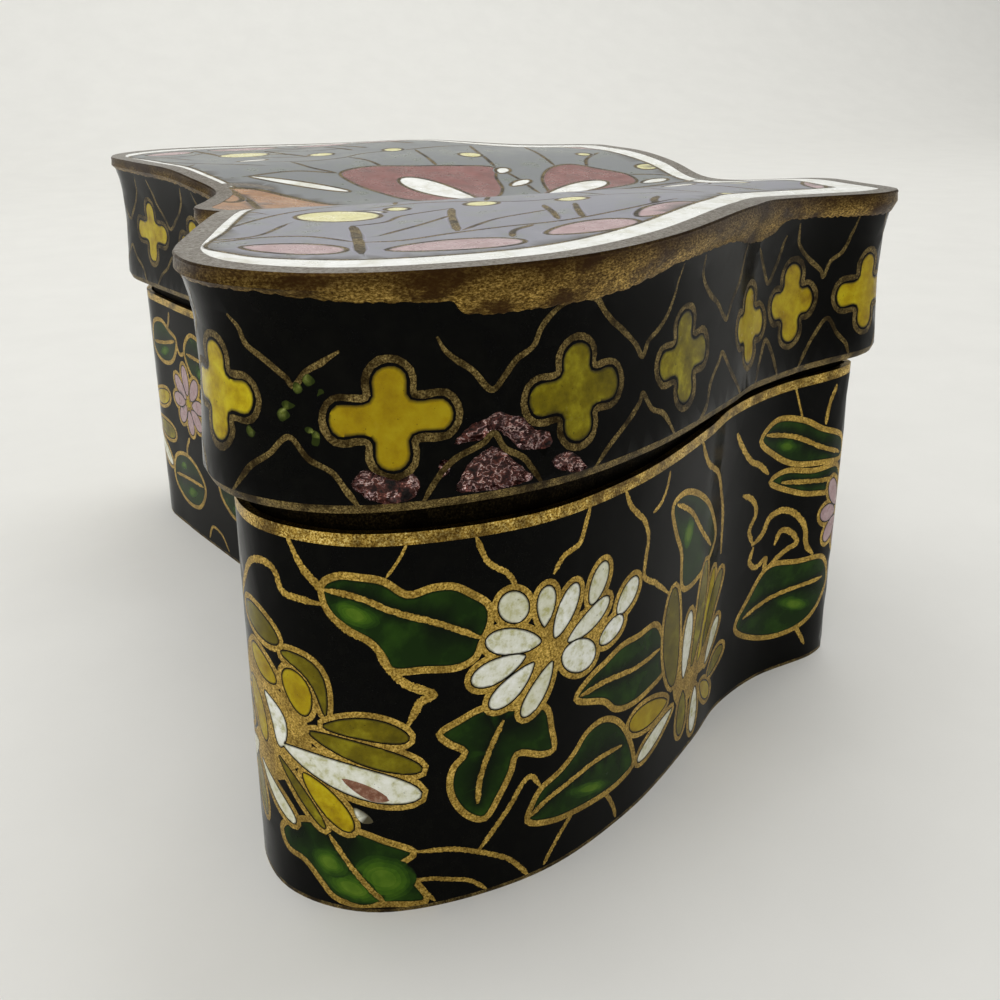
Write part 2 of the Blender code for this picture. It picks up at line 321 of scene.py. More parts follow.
class Drawing:
    """Enamel cells and wires, in mm, painted in order on a ground."""

    def __init__(self, ground, finish, seed):
        self.shapes = [(short_sides(np.array(ground, float)), finish, 0.5)]
        self.spare = []
        self.hand = random.Random(seed)

    def fill(self, points, finish, tone=None):
        """Paint one closed shape."""
        points = np.array(points, float)
        turned = np.roll(points, -1, axis=0)
        area = (points[:, 0] * turned[:, 1] - points[:, 1] * turned[:, 0]).sum()
        tone = self.hand.random() if tone is None else tone
        self.shapes.append((short_sides(points if area > 0 else points[::-1]), finish, tone))

    def cell(self, points, finish, wire, metal, tone, under=None):
        """Paint a cell: wire, enamel and the enamel's clear middle, where the painted shade line along the wire
        ends; under is the enamel round it and its tone, which ends that line outside the wire.
        """
        points = np.array(points, float)
        turned = np.roll(points, -1, axis=0)
        if (points[:, 0] * turned[:, 1] - points[:, 1] * turned[:, 0]).sum() < 0:
            points = points[::-1]
        if under:
            self.fill(inset_outline(points, -wire / 2 - SHADE_LINE_WIDTH, FINE_STEP), *under)
        self.fill(inset_outline(points, -wire / 2, FINE_STEP), metal, tone)
        inside = inset_outline(points, wire / 2, FINE_STEP)
        self.fill(inside, finish, tone)
        self.fill(inset_outline(inside, SHADE_LINE_WIDTH, FINE_STEP), finish, tone)

    def wire(self, points, width, metal=BRASS, tone=None):
        """Paint one open wire, its width a little uneven."""
        line = open_curve(points)
        along = np.gradient(line, axis=0)
        along = along / np.linalg.norm(along, axis=1)[:, None]
        side = np.column_stack((-along[:, 1], along[:, 0]))
        knots = np.linspace(0, len(line) - 1, max(4, len(points) * 2))
        way = np.linspace(0, 1, len(line))
        half = width / 2 * np.minimum(1, WIRE_END + WIRE_SWELL * np.minimum(way, 1 - way))[:, None]
        upper = np.interp(np.arange(len(line)), knots, [self.hand.uniform(*WIRE_UNEVEN) for _ in knots])
        lower = np.interp(np.arange(len(line)), knots, [self.hand.uniform(*WIRE_UNEVEN) for _ in knots])
        edges = (line + side * upper[:, None] * half, (line - side * lower[:, None] * half)[::-1])
        self.fill(np.vstack(edges), metal, tone)

    def uneven(self, outline, amount):
        """A closed polygon with a slightly wandering edge."""
        ahead = np.roll(outline, -1, axis=0) - np.roll(outline, 1, axis=0)
        out = np.column_stack((ahead[:, 1], -ahead[:, 0])) / (np.linalg.norm(ahead, axis=1)[:, None] + 1e-9)
        wander = np.array([self.hand.uniform(-amount, amount) for _ in outline])
        wander = (np.roll(wander, 1) + wander + np.roll(wander, -1)) / 2
        return outline + out * wander[:, None]

    def points_in(self, low, high, spacing):
        """Extra points over a rectangle, so that the sheet can bend there."""
        columns = np.arange(low[0] + spacing[0] / 2, high[0], spacing[0])
        rows = np.arange(low[1] + spacing[1] / 2, high[1], spacing[1])
        for row, height in enumerate(rows):
            shift = spacing[0] / 4 * (-1) ** row
            self.spare.extend((column + shift, height) for column in columns)

    def sheet(self):
        """Cut the drawing: points, triangles, and each triangle's finish and tone."""
        points = []
        edges = []
        for outline, _finish, _tone in self.shapes:
            first = len(points)
            count = len(outline)
            edges.extend((first + index, first + (index + 1) % count) for index in range(count))
            points.extend(Vector(point) for point in outline)
        points.extend(Vector(point) for point in self.spare)
        cut = delaunay_2d_cdt(points, edges, [], 0, 1e-3, False)
        places = np.array([tuple(place) for place in cut[0]])
        triangles = np.array(cut[2])
        top = self.topmost(places[triangles].mean(axis=1))
        triangles = triangles[top >= 0]
        top = top[top >= 0]
        finish = np.array([self.shapes[index][1] for index in top])
        tone = np.array([self.shapes[index][2] for index in top])
        return places, triangles, finish, tone

    def topmost(self, centres):
        """The last painted shape over each point, or -1 off the ground."""
        top = np.full(len(centres), -1)
        for index, (outline, _finish, _tone) in enumerate(self.shapes):
            low = outline.min(axis=0)
            high = outline.max(axis=0)
            near = np.flatnonzero(((centres > low) & (centres < high)).all(axis=1))
            parts = np.array_split(centres[near], len(near) // POINTS_AT_ONCE + 1)
            turns = np.concatenate([times_round(part, outline) for part in parts])
            if index:
                top[near[turns > 0]] = index
            else:
                on_ground = np.isin(np.arange(len(centres)), near[turns > 0])
        return np.where(on_ground, np.maximum(top, 0), -1)


def sheet_mesh(drawing, on_surface):
    """A bmesh of the drawing wrapped on a surface; inner is 0 where a cell's enamel meets its edge, where a shade
    line is painted.
    """
    places, triangles, finish, tone = drawing.sheet()
    world = on_surface(places[:, 0], places[:, 1])
    at_edge = np.zeros(len(places), bool)
    plain = np.isin(finish, list(METALS | {BLACK}))
    at_edge[triangles[plain].ravel()] = True
    mesh = bmesh.new()
    along_layer = mesh.verts.layers.float.new("along")
    inner_layer = mesh.loops.layers.float.new("inner")
    tone_layer = mesh.loops.layers.float.new("tone")
    verts = []
    for place, flat in zip(world, places):
        vert = mesh.verts.new(Vector(place) * MM)
        vert[along_layer] = flat[0]
        verts.append(vert)
    for corners, kind, shade, is_plain in zip(triangles, finish, tone, plain):
        if len(set(corners)) < 3:
            continue
        face = mesh.faces.new([verts[corner] for corner in corners])
        face.material_index = int(kind)
        for loop, corner in zip(face.loops, corners):
            loop[inner_layer] = 1.0 if is_plain or not at_edge[corner] else 0.0
            loop[tone_layer] = shade
    bmesh.ops.delete(mesh, geom=[vert for vert in mesh.verts if not vert.link_faces], context="VERTS")
    return mesh


def chip_away(mesh, seed):
    """Sink the chipped patches of a wall unevenly, and give each of their faces a tone of its own."""
    hand = random.Random(seed)
    tone_layer = mesh.loops.layers.float["tone"]
    mesh.normal_update()
    for vert in mesh.verts:
        if all(face.material_index == COPPER for face in vert.link_faces):
            vert.co -= vert.normal * CHIP_DEPTH * hand.uniform(0.45, 1.0) * MM
    for face in mesh.faces:
        if face.material_index == COPPER:
            facet = hand.random()
            for loop in face.loops:
                loop[tone_layer] = facet


def join_lap(mesh):
    """Close a wrapped sheet where its two ends meet."""
    bmesh.ops.remove_doubles(mesh, verts=mesh.verts, dist=1e-7)


def edge_loops(mesh):
    """The open edges of a wrapped sheet: the lower loop, then the upper one."""
    open_edges = [edge for edge in mesh.edges if len(edge.link_faces) == 1]
    loops = []
    waiting = set(open_edges)
    while waiting:
        reached = [waiting.pop()]
        for edge in reached:
            for vert in edge.verts:
                for other in vert.link_edges:
                    if other in waiting:
                        waiting.remove(other)
                        reached.append(other)
        loops.append(reached)
    return sorted(loops, key=lambda edges: np.mean([vert.co.z for edge in edges for vert in edge.verts]))


def extend_loop(mesh, edges, profile, finish):
    """Extrude an open loop through a profile of (inset, height function); gives the last loop's edges."""
    along_layer = mesh.verts.layers.float["along"]
    inner_layer = mesh.loops.layers.float["inner"]
    for inset, height_at in profile:
        made = bmesh.ops.extrude_edge_only(mesh, edges=edges)["geom"]
        verts = [item for item in made if isinstance(item, bmesh.types.BMVert)]
        edges = [item for item in made if isinstance(item, bmesh.types.BMEdge)]
        for face in (item for item in made if isinstance(item, bmesh.types.BMFace)):
            face.material_index = finish
            for loop in face.loops:
                loop[inner_layer] = 1.0
        plan = plan_place([vert[along_layer] for vert in verts], inset)
        heights = height_at(plan[:, 0], plan[:, 1])
        for vert, place, height in zip(verts, plan, heights):
            vert.co = Vector((place[0], place[1], height)) * MM
    return edges


def cap(mesh, edges, finish):
    """Close a loop with one face."""
    inner_layer = mesh.loops.layers.float["inner"]
    for face in bmesh.ops.contextual_create(mesh, geom=edges)["faces"]:
        face.material_index = finish
        for loop in face.loops:
            loop[inner_layer] = 1.0


def finish_piece(name, mesh, *nodes, slot):
    """Turn a closed bmesh into a piece that stands for CAD nodes."""
    bmesh.ops.recalc_face_normals(mesh, faces=mesh.faces)
    data = bpy.data.meshes.new(name)
    mesh.to_mesh(data)
    mesh.free()
    used = sorted({face.material_index for face in data.polygons})
    for face in data.polygons:
        face.material_index = used.index(face.material_index)
    for finish in used:
        data.materials.append(FINISHES[finish])
    data.shade_smooth()
    data.set_sharp_from_angle(angle=math.radians(38))
    piece = bpy.data.objects.new(name, data)
    bpy.context.scene.collection.objects.link(piece)
    weighted = piece.modifiers.new("even_shine", "WEIGHTED_NORMAL")
    weighted.keep_sharp = True
    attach(piece, "root")
    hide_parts(*nodes)
    return piece


# Motifs, all in mm

def quatrefoil(centre, across, tall, arm=1.0):
    """Four round lobes on straight arms: half sizes across and up, and half an arm's width."""
    turns = (0.0, 0.4, 0.8, 1.2)
    quarter = [(across - arm + arm * 1.08 * math.cos(turn), arm * 1.08 * math.sin(turn)) for turn in turns]
    quarter += [(arm * 1.5, arm * 0.98), (arm * 1.08, arm * 1.3)]
    quarter += [(arm * 1.12 * math.cos(turn), tall - arm + arm * math.sin(turn)) for turn in turns]
    points = []
    for side_x, side_y, flip in ((1, 1, False), (-1, 1, True), (-1, -1, False), (1, -1, True)):
        run = quarter + [(0.0, tall)]
        run = run[::-1] if flip else run
        points.extend((centre[0] + side_x * x, centre[1] + side_y * y) for x, y in run[:-1])
    return evenly(closed_curve(points, 3), 60)[0]


def petal(root, tip, width, bend=0.0, blunt=0.0):
    """A drop from its root to its round tip; blunt widens the root, bend bows it sideways."""
    root = np.array(root, float)
    run = np.array(tip, float) - root
    side = np.array((-run[1], run[0])) / np.linalg.norm(run)
    points = []
    for step in range(26):
        angle = (step + 0.5) / 26 * math.tau
        share = (1 - math.cos(angle)) / 2
        spread = width / 2 * math.sin(angle) * (1.22 * math.sin(angle / 2) ** 0.7 * (1 - blunt) + blunt)
        points.append(root + run * share + side * (spread + bend * math.sin(math.pi * share)))
    return points


def oval(centre, length, width, degrees=0.0):
    """A plain oval."""
    lean = math.radians(degrees)
    points = []
    for step in range(24):
        angle = step / 24 * math.tau
        x = length / 2 * math.cos(angle)
        y = width / 2 * math.sin(angle)
        points.append((
            centre[0] + x * math.cos(lean) - y * math.sin(lean),
            centre[1] + x * math.sin(lean) + y * math.cos(lean),
        ))
    return points


def soft_shape(points, spacing=0.43):
    """A smooth closed shape through a few points."""
    fine = closed_curve(points, 12)
    _same, length = evenly(fine, 8)
    even, _length = evenly(fine, max(14, int(length / spacing)))
    return even


def other_wing(points, shift=(0.0, 0.0)):
    """A drawing place on the far wing, the mirror image of the near one's."""
    points = np.array(points, float) + shift
    return np.column_stack((LAP - points[:, 0], points[:, 1]))


# Lid's wall: quatrefoils as place along and up, half sizes and enamel; then wires, drawn for the near wing

QUATREFOILS = (
    (5.2, 5.7, 3.0, 2.8, YELLOW, 0.2), (15.8, 5.8, 3.3, 2.9, YELLOW, 0.5),
    (26.6, 6.2, 4.0, 3.2, YELLOW, 0.3),
    (39.4, 6.2, 3.3, 3.0, YELLOW, 0.0), (51.1, 5.5, 3.6, 3.0, YELLOW, 1.0),
    (63.0, 5.5, 3.5, 3.0, OLIVE, 0.4),
    (74.1, 5.2, 3.2, 3.0, OLIVE, 0.0), (85.9, 5.0, 2.7, 2.7, YELLOW, 0.6),
    (92.7, 5.8, 2.7, 3.0, YELLOW, 0.5),
    (101.8, 5.5, 3.7, 3.1, YELLOW, 0.5), (112.6, 5.6, 3.3, 2.9, YELLOW, 0.2),
    (122.6, 5.7, 3.2, 2.9, OLIVE, 0.0),
)
RING_WIDTH = 0.44
RING_GAP = 0.1             # black line between a quatrefoil's enamel and its ring
LOWER_WIRES = (
    ((40.6, 0.5), (42.3, 2.4), (43.7, 3.3), (45.0, 4.4), (46.2, 3.2), (47.6, 2.5), (48.4, 1.4),
     (49.1, 0.4)),
    ((52.6, 0.4), (53.4, 1.6), (54.6, 2.8), (56.4, 3.5), (57.1, 4.0), (57.8, 3.0), (58.9, 2.3), (59.5, 1.5),
     (60.2, 0.4)),
    ((64.0, 0.4), (65.7, 1.7), (67.4, 2.7), (68.7, 3.6), (69.0, 4.1), (70.0, 2.9), (71.2, 2.3),
     (72.7, 0.4)),
    ((75.9, 0.4), (77.3, 1.2), (78.1, 2.6), (79.7, 3.8), (80.1, 4.2), (81.9, 2.5), (83.3, 1.2),
     (84.0, 0.4)),
    ((87.4, 0.4), (88.4, 2.4), (89.2, 3.5), (90.2, 2.4), (91.2, 0.4)),
    ((94.0, 0.5), (94.7, 1.5), (95.7, 2.7), (97.2, 3.9), (98.4, 2.5), (99.4, 1.6), (100.0, 0.4)),
)
UPPER_WIRES = (
    ((41.4, 10.9), (42.1, 10.2), (42.5, 9.4), (43.5, 8.8), (45.0, 7.8), (45.5, 7.3), (46.3, 8.1),
     (47.2, 8.6),
     (48.4, 9.3)),
    ((53.9, 9.8), (54.3, 9.1), (54.9, 8.5), (55.9, 7.8), (57.1, 6.5), (57.9, 7.2), (58.7, 8.1),
     (59.8, 8.7), (60.2, 9.5), (61.1, 10.4), (62.0, 10.9), (63.2, 11.0), (64.3, 10.8), (65.2, 9.9),
     (65.8, 9.3),
     (67.0, 8.4), (68.3, 7.3), (69.1, 6.4), (69.6, 7.2), (70.9, 7.9), (71.8, 8.7), (72.5, 9.8),
     (73.0, 11.4)),
    ((76.0, 11.4), (76.4, 9.8), (77.6, 8.6), (79.1, 7.7), (80.4, 6.6), (81.0, 6.3), (81.8, 7.4),
     (83.0, 8.6), (84.0, 10.8)),
    ((87.2, 10.2), (88.2, 8.8), (89.2, 7.6), (90.2, 8.8), (91.2, 10.8)),
    ((92.6, 11.6), (93.2, 10.0), (94.3, 9.0), (96.1, 7.8), (96.4, 7.3), (97.0, 8.4), (98.1, 9.0),
     (98.9, 10.2), (99.4, 11.8)),
)
PLAIN_ZIGZAGS = ((10.5, 4.2), (21.4, 4.4), (33.2, 4.3), (107.4, 4.2), (117.6, 4.0), (127.4, 3.8))
GREEN_SPECKS = ((45.8, 7.1, 0.8), (46.6, 7.6, 0.7), (45.1, 6.2, 0.7), (44.9, 5.6, 0.8), (46.7, 4.4, 0.7),
                (46.3, 4.9, 0.4),
                (42.4, 4.4, 0.6), (47.1, 7.0, 0.4))
CHIPS = (
    ((48.6, 1.9), (49.3, 2.5), (50.4, 2.2), (51.4, 2.1), (52.2, 2.2), (52.5, 1.4), (51.9, 0.7),
     (50.4, 0.65), (49.4, 1.0)),
    ((54.7, 1.0), (55.1, 1.9), (55.7, 2.6), (56.8, 3.2), (57.8, 2.7), (58.7, 1.9), (59.6, 1.0), (58.4, 0.7),
     (56.5, 0.65)),
    ((54.7, 3.7), (55.7, 4.6), (56.8, 5.0), (58.1, 5.0), (59.0, 4.5), (59.8, 3.9), (60.8, 3.5), (60.9, 2.8),
     (60.0, 2.7),
     (59.1, 2.8), (58.2, 3.4), (57.3, 4.2), (56.2, 3.8)),
    ((61.0, 1.7), (62.0, 2.0), (63.1, 1.2), (63.7, 0.8), (62.8, 0.6), (61.6, 1.1)),
    ((53.6, 2.3), (53.9, 2.8), (54.3, 2.7), (54.2, 2.2), (53.8, 1.9)),
)


def lid_wall_drawing():
    """Yellow quatrefoils between zigzag wires on black."""
    ground = [(0, 0), (LAP, 0), (LAP, LID_WALL_HEIGHT), (0, LID_WALL_HEIGHT)]
    drawing = Drawing(ground, BLACK, 11)
    drawing.points_in((0, 0), (LAP, LID_WALL_HEIGHT), (WALL_GRID[0], 1.3))
    hand = drawing.hand
    for line in LOWER_WIRES + UPPER_WIRES:
        drawing.wire(line, LID_WIRE, OLD_WIRE)
        drawing.wire(other_wing(line, (hand.uniform(-0.3, 0.3), 0.0)), LID_WIRE, OLD_WIRE)
    for middle, reach in PLAIN_ZIGZAGS:
        draw_zigzag(drawing, middle, reach)
        draw_zigzag(drawing, LAP - middle, reach)
    shapes = list(QUATREFOILS) + [(LAP - facts[0],) + facts[1:] for facts in QUATREFOILS]
    for along, up, across, tall, enamel_kind, tone in shapes + [(LAP / 2, 5.7, 3.2, 2.9, YELLOW, 0.3)]:
        shape = quatrefoil((along, up + hand.uniform(-0.1, 0.1)), across, tall, hand.uniform(0.93, 1.05))
        for inset, wander, finish, depth in (
            (-RING_WIDTH - RING_GAP, 0.06, OLD_WIRE, None),
            (-RING_GAP, 0.06, BLACK, None),
            (0.05, 0.04, enamel_kind, tone),
        ):
            drawing.fill(drawing.uneven(inset_outline(shape, inset, FINE_STEP), wander), finish, depth)
        drawing.fill(inset_outline(shape, 0.26, FINE_STEP), enamel_kind, tone)
    for along, up, size in GREEN_SPECKS:
        reaches = [size / 2 * hand.uniform(0.5, 1.5) for _ in range(6)]
        speck = [(along + reach * math.cos(turn), up + reach * math.sin(turn)) for turn,
                 reach in enumerate(reaches)]
        drawing.fill(soft_shape(speck, 0.15), SPRIG)
    for shape in CHIPS:
        drawing.points_in(np.min(shape, axis=0), np.max(shape, axis=0), (CHIP_GRID, CHIP_GRID))
        drawing.fill(drawing.uneven(soft_shape(shape, 0.3), 0.14), COPPER)
    drawing.wire(LOWER_WIRES[1], LID_WIRE, OLD_WIRE)
    drawing.fill([(0, 0), (LAP, 0), (LAP, GILT_LID_MOUTH), (0, GILT_LID_MOUTH)], OLD_WIRE)
    return drawing


def draw_zigzag(drawing, middle, reach):
    """A peak from the mouth and a valley from the band, between two quatrefoils."""
    hand = drawing.hand
    lean = [hand.uniform(-0.3, 0.3) for _ in range(4)]
    peak = ((-1.0, 0.4), (-0.7, 1.8), (-0.35, 2.7), (0.0, 4.0), (0.3, 2.9), (0.75, 1.8), (1.0, 0.4))
    valley = ((-1.0, 11.8), (-0.7, 9.6), (-0.3, 8.2), (0.0, 7.0), (0.35, 8.0), (0.7, 9.5), (0.95, 11.8))
    for line, shift, rise in ((peak, lean[0], lean[1] * 0.5), (valley, lean[2], lean[3])):
        points = [(middle + share * reach + shift * (1 - abs(share)),
                   up + rise * (1 - abs(share))) for share, up in line]
        drawing.wire(points, LID_WIRE, OLD_WIRE)


# Base's wall, near wing, in mm along the lip and up. A petal: root, tip, width, bow, blunt root, enamel

GOLD_FLOWER = (
    ((45.3, 15.5), (41.8, 19.4), 1.3, -1.3, 0.4, OLIVE),
    ((43.7, 15.2), (42.1, 18.2), 2.3, -0.2, 0.7, YELLOW),
    ((41.6, 20.0), (36.6, 21.0), 1.9, -0.2, 0.8, OLIVE),
    ((41.0, 16.9), (37.4, 18.4), 1.8, 0.0, 0.6, YELLOW),
    ((38.9, 11.6), (36.6, 15.8), 2.1, -0.2, 0.8, YELLOW),
    ((39.3, 15.7), (41.0, 12.0), 1.7, 0.7, 0.2, WHITE),
    ((45.0, 14.7), (51.3, 13.9), 1.6, 0.5, 0.3, OLIVE), ((43.8, 14.0), (52.1, 11.4), 1.6, 0.2, 0.4, OLIVE),
    ((41.2, 12.3), (52.0, 9.4), 2.4, 0.1, 0.1, WHITE), ((40.6, 11.2), (44.6, 6.6), 0.9, 0.1, 0.4, OLIVE),
    ((43.0, 10.6), (46.8, 6.8), 1.9, 0.1, 0.5, YELLOW), ((37.6, 9.6), (41.9, 6.2), 1.3, 0.0, 0.1, WHITE),
    ((36.0, 10.0), (37.6, 4.8), 1.8, 0.0, 0.6, OLIVE), ((37.0, 10.6), (32.0, 7.2), 1.8, 0.0, 0.5, WHITE),
    ((36.2, 12.2), (30.0, 11.6), 2.0, 0.2, 0.4, OLIVE), ((36.4, 15.2), (30.6, 16.4), 1.9, 0.2, 0.5, YELLOW),
)
WHITE_FLOWER = (
    ((60.0, 21.2), (58.1, 22.9), 2.1, 0.0, 0.9, WHITE), ((61.5, 20.0), (61.8, 22.9), 1.6, 0.0, 0.0, WHITE),
    ((62.4, 18.9), (64.5, 22.3), 1.7, 0.0, 0.4, WHITE), ((65.9, 20.2), (67.5, 22.9), 1.7, 0.0, 0.6, WHITE),
    ((63.6, 18.2), (67.9, 20.0), 1.6, -0.1, 0.3, WHITE), ((68.9, 18.3), (71.3, 20.3), 1.8, 0.0, 0.7, WHITE),
    ((66.9, 16.8), (69.6, 17.8), 1.6, 0.0, 0.7, WHITE), ((63.1, 17.4), (66.4, 16.0), 2.5, 0.0, 0.8, WHITE),
    ((61.2, 19.0), (56.9, 20.1), 1.9, 0.0, 0.3, WHITE), ((59.9, 18.3), (55.8, 17.3), 1.8, 0.0, 0.1, WHITE),
    ((60.6, 17.6), (57.1, 15.1), 1.7, 0.1, 0.1, WHITE), ((62.2, 17.2), (59.6, 13.7), 1.5, 0.1, 0.2, WHITE),
)
TALL_FLOWER = (
    ((77.6, 8.0), (77.0, 17.0), 2.8, 0.3, 0.8, OLIVE), ((79.6, 7.6), (80.5, 13.4), 1.7, 0.0, 0.3, WHITE),
    ((81.2, 7.8), (83.4, 16.6), 1.7, -0.3, 0.3, OLIVE), ((82.4, 7.6), (85.6, 15.0), 1.7, -0.3, 0.3, YELLOW),
    ((83.6, 8.6), (87.4, 14.0), 1.7, 0.0, 0.4, OLIVE), ((84.4, 6.4), (87.2, 9.6), 1.5, 0.0, 0.3, WHITE),
    ((85.4, 4.6), (88.4, 6.0), 1.5, 0.0, 0.5, OLIVE), ((83.4, 5.0), (86.0, 2.4), 1.5, 0.0, 0.4, YELLOW),
    ((82.2, 5.4), (81.9, 1.0), 1.5, 0.0, 0.3, WHITE), ((79.6, 6.4), (79.4, 2.2), 1.7, 0.0, 0.3, OLIVE),
    ((77.6, 5.9), (72.0, 4.1), 1.5, 0.0, 0.0, WHITE), ((76.6, 7.1), (70.7, 8.1), 2.2, 0.0, 0.2, YELLOW),
)
PINK_FLOWER = (
    ((0.6, 0.4), (3.4, 2.6), 1.8, 0.0, 0.4, PINK), ((0.1, 0.9), (0.6, 4.4), 1.7, 0.0, 0.4, PINK),
    ((-0.6, 0.5), (-2.8, 3.2), 1.8, 0.0, 0.4, PINK), ((-0.9, -0.1), (-4.0, 0.2), 1.7, 0.0, 0.4, PINK),
    ((-0.5, -0.7), (-3.0, -2.6), 1.8, 0.0, 0.4, PINK), ((0.1, -0.9), (-0.2, -3.8), 1.7, 0.0, 0.4, PINK),
    ((0.7, -0.5), (2.8, -2.6), 1.8, 0.0, 0.4, PINK), ((0.9, 0.0), (4.2, -0.2), 1.7, 0.0, 0.4, PINK),
)

# Each leaf: its outline, its middle wire, and its bright green patches as place, length and width
LEAVES = (
    (((45.7, 24.7), (46.9, 25.4), (48.3, 25.4), (50.1, 25.1), (51.7, 24.1), (53.4, 24.4), (54.8, 24.3),
      (56.0, 23.6),
      (57.2, 22.6), (57.3, 21.4), (56.6, 20.0), (56.2, 19.1), (55.0, 18.6), (52.6, 18.8), (50.3, 19.0),
      (49.8, 20.0),
      (49.0, 21.0), (47.2, 22.0), (45.9, 23.2)),
     ((45.8, 24.4), (48.1, 24.1), (50.8, 23.0), (53.7, 21.9), (56.8, 20.3)), ((48.0, 22.9, 2.6, 1.1),)),
    (((40.2, 5.2), (40.8, 3.8), (42.5, 3.4), (44.0, 1.9), (44.8, 1.0), (46.0, 0.6), (49.0, 0.7),
      (52.0, 0.6), (51.1, 2.6),
      (50.2, 3.9), (51.3, 4.8), (48.8, 6.2), (47.3, 6.8), (44.6, 7.2), (42.0, 6.6)),
     ((44.9, 6.2), (46.9, 3.2), (48.9, 0.8)), ((48.9, 2.9, 3.6, 2.8), (46.4, 2.0, 3.4, 1.7),
                                               (44.8, 3.8, 2.4, 1.6))),
    (((53.4, 13.9), (55.0, 14.7), (56.6, 15.2), (59.0, 14.6), (61.6, 13.8), (62.1, 11.9), (62.3, 10.1),
      (61.3, 10.1),
      (59.1, 10.9), (58.6, 9.6), (57.7, 8.0), (56.5, 6.4), (55.5, 6.8), (54.5, 8.0), (54.0, 9.6),
      (54.3, 11.1),
      (55.2, 12.1), (54.0, 13.1)),
     ((58.1, 13.9), (56.9, 11.6), (56.2, 9.6), (56.0, 7.8)), ()),
    (((59.9, 5.0), (60.4, 6.4), (61.1, 7.3), (63.0, 8.1), (64.4, 9.0), (65.5, 10.0), (67.2, 10.3),
      (68.9, 9.5),
      (70.4, 7.6), (71.4, 4.2), (70.2, 3.7), (68.3, 3.5), (66.6, 3.6), (64.3, 3.8), (62.0, 4.1)),
     ((60.1, 5.3), (61.6, 6.1), (64.0, 6.7), (66.7, 7.1), (69.8, 6.8)), ((66.0, 5.0, 4.0, 0.8),)),
    (((64.4, 13.4), (65.9, 14.5), (67.6, 15.0), (69.4, 15.5), (71.6, 15.4), (74.2, 15.2), (75.6, 13.0),
      (75.9, 10.4),
      (73.6, 9.9), (70.5, 9.9), (68.8, 10.5), (67.6, 11.7)),
     ((64.9, 13.4), (67.6, 13.4), (71.3, 12.8), (75.0, 12.7)), ()),
    (((76.3, 24.0), (77.9, 24.4), (80.0, 23.8), (82.6, 22.2), (84.2, 20.5), (85.4, 17.8), (82.4, 16.0),
      (78.7, 16.2),
      (78.1, 19.6), (77.0, 21.6)),
     ((77.0, 23.9), (79.7, 22.3), (82.1, 19.7), (84.3, 17.6)), ((79.4, 20.6, 1.4, 2.0),)),
    (((92.3, 23.8), (93.2, 24.7), (94.5, 25.1), (97.5, 24.3), (99.6, 23.2), (104.0, 21.4), (104.2, 19.8),
      (100.4, 19.9),
      (96.5, 20.6), (94.2, 22.0)),
     ((93.0, 24.1), (96.6, 23.0), (99.7, 21.5), (103.5, 20.2)), ((95.6, 22.4, 2.0, 0.8),)),
    (((94.0, 19.6), (95.6, 20.1), (99.0, 19.4), (103.4, 19.0), (104.4, 16.9), (99.6, 17.1), (97.1, 17.8)),
     ((95.4, 19.1), (99.0, 18.4), (103.4, 17.8)), ()),
    (((90.4, 6.8), (92.2, 9.0), (94.6, 11.2), (98.2, 10.8), (102.2, 10.2), (103.6, 7.6), (100.6, 4.4),
      (97.0, 3.6), (93.6, 4.4)),
     ((91.6, 7.2), (96.0, 8.0), (102.4, 8.2)), ((98.4, 6.4, 3.4, 1.0),)),
    (((30.8, 25.4), (33.6, 24.6), (34.4, 21.8), (31.4, 20.4), (28.2, 21.2), (26.6, 23.8), (28.6, 24.6)),
     ((33.8, 22.4), (30.6, 22.8), (27.2, 23.6)), ((30.6, 21.8, 2.4, 0.9),)),
    (((19.4, 24.6), (22.6, 25.2), (24.6, 23.0), (23.0, 20.4), (19.2, 19.6), (16.4, 21.6), (17.2, 23.4)),
     ((24.0, 22.8), (20.4, 22.6), (17.0, 22.0)), ((20.4, 21.2, 2.2, 0.9),)),
    (((27.6, 9.8), (30.8, 8.6), (31.6, 5.6), (28.8, 3.6), (24.4, 4.0), (22.4, 7.0), (24.6, 9.2)),
     ((31.0, 6.4), (27.2, 6.8), (23.0, 7.0)), ((26.6, 5.2, 2.6, 1.0), (28.4, 8.2, 1.6, 0.8))),
    (((15.6, 12.4), (18.4, 11.2), (18.2, 7.6), (14.6, 5.6), (10.8, 6.8), (10.2, 10.2), (12.6, 12.2)),
     ((18.0, 9.4), (14.4, 9.2), (10.8, 8.6)), ((14.0, 7.2, 2.2, 0.9),)),
    (((4.4, 21.8), (7.8, 23.4), (11.6, 22.6), (12.4, 19.4), (9.2, 17.4), (5.4, 18.4)),
     ((5.0, 20.6), (8.6, 20.6), (12.0, 20.4)), ((8.8, 19.0, 2.0, 0.9),)),
    (((108.6, 9.8), (111.8, 11.8), (115.6, 10.8), (117.0, 7.4), (113.6, 5.2), (109.6, 6.4)),
     ((109.2, 8.6), (112.8, 8.6), (116.6, 8.2)), ((112.4, 6.8, 2.2, 0.9),)),
    (((111.6, 24.4), (115.4, 25.2), (118.6, 23.2), (118.0, 19.8), (114.2, 18.8), (111.0, 21.0)),
     ((111.8, 22.6), (115.0, 22.2), (118.2, 21.6)), ((115.0, 20.4, 2.0, 0.8),)),
    (((124.0, 15.8), (127.2, 17.8), (130.6, 16.2), (130.8, 12.6), (127.2, 11.0), (124.2, 12.8)),
     ((124.6, 14.4), (127.6, 14.4), (130.6, 14.0)), ()),
)

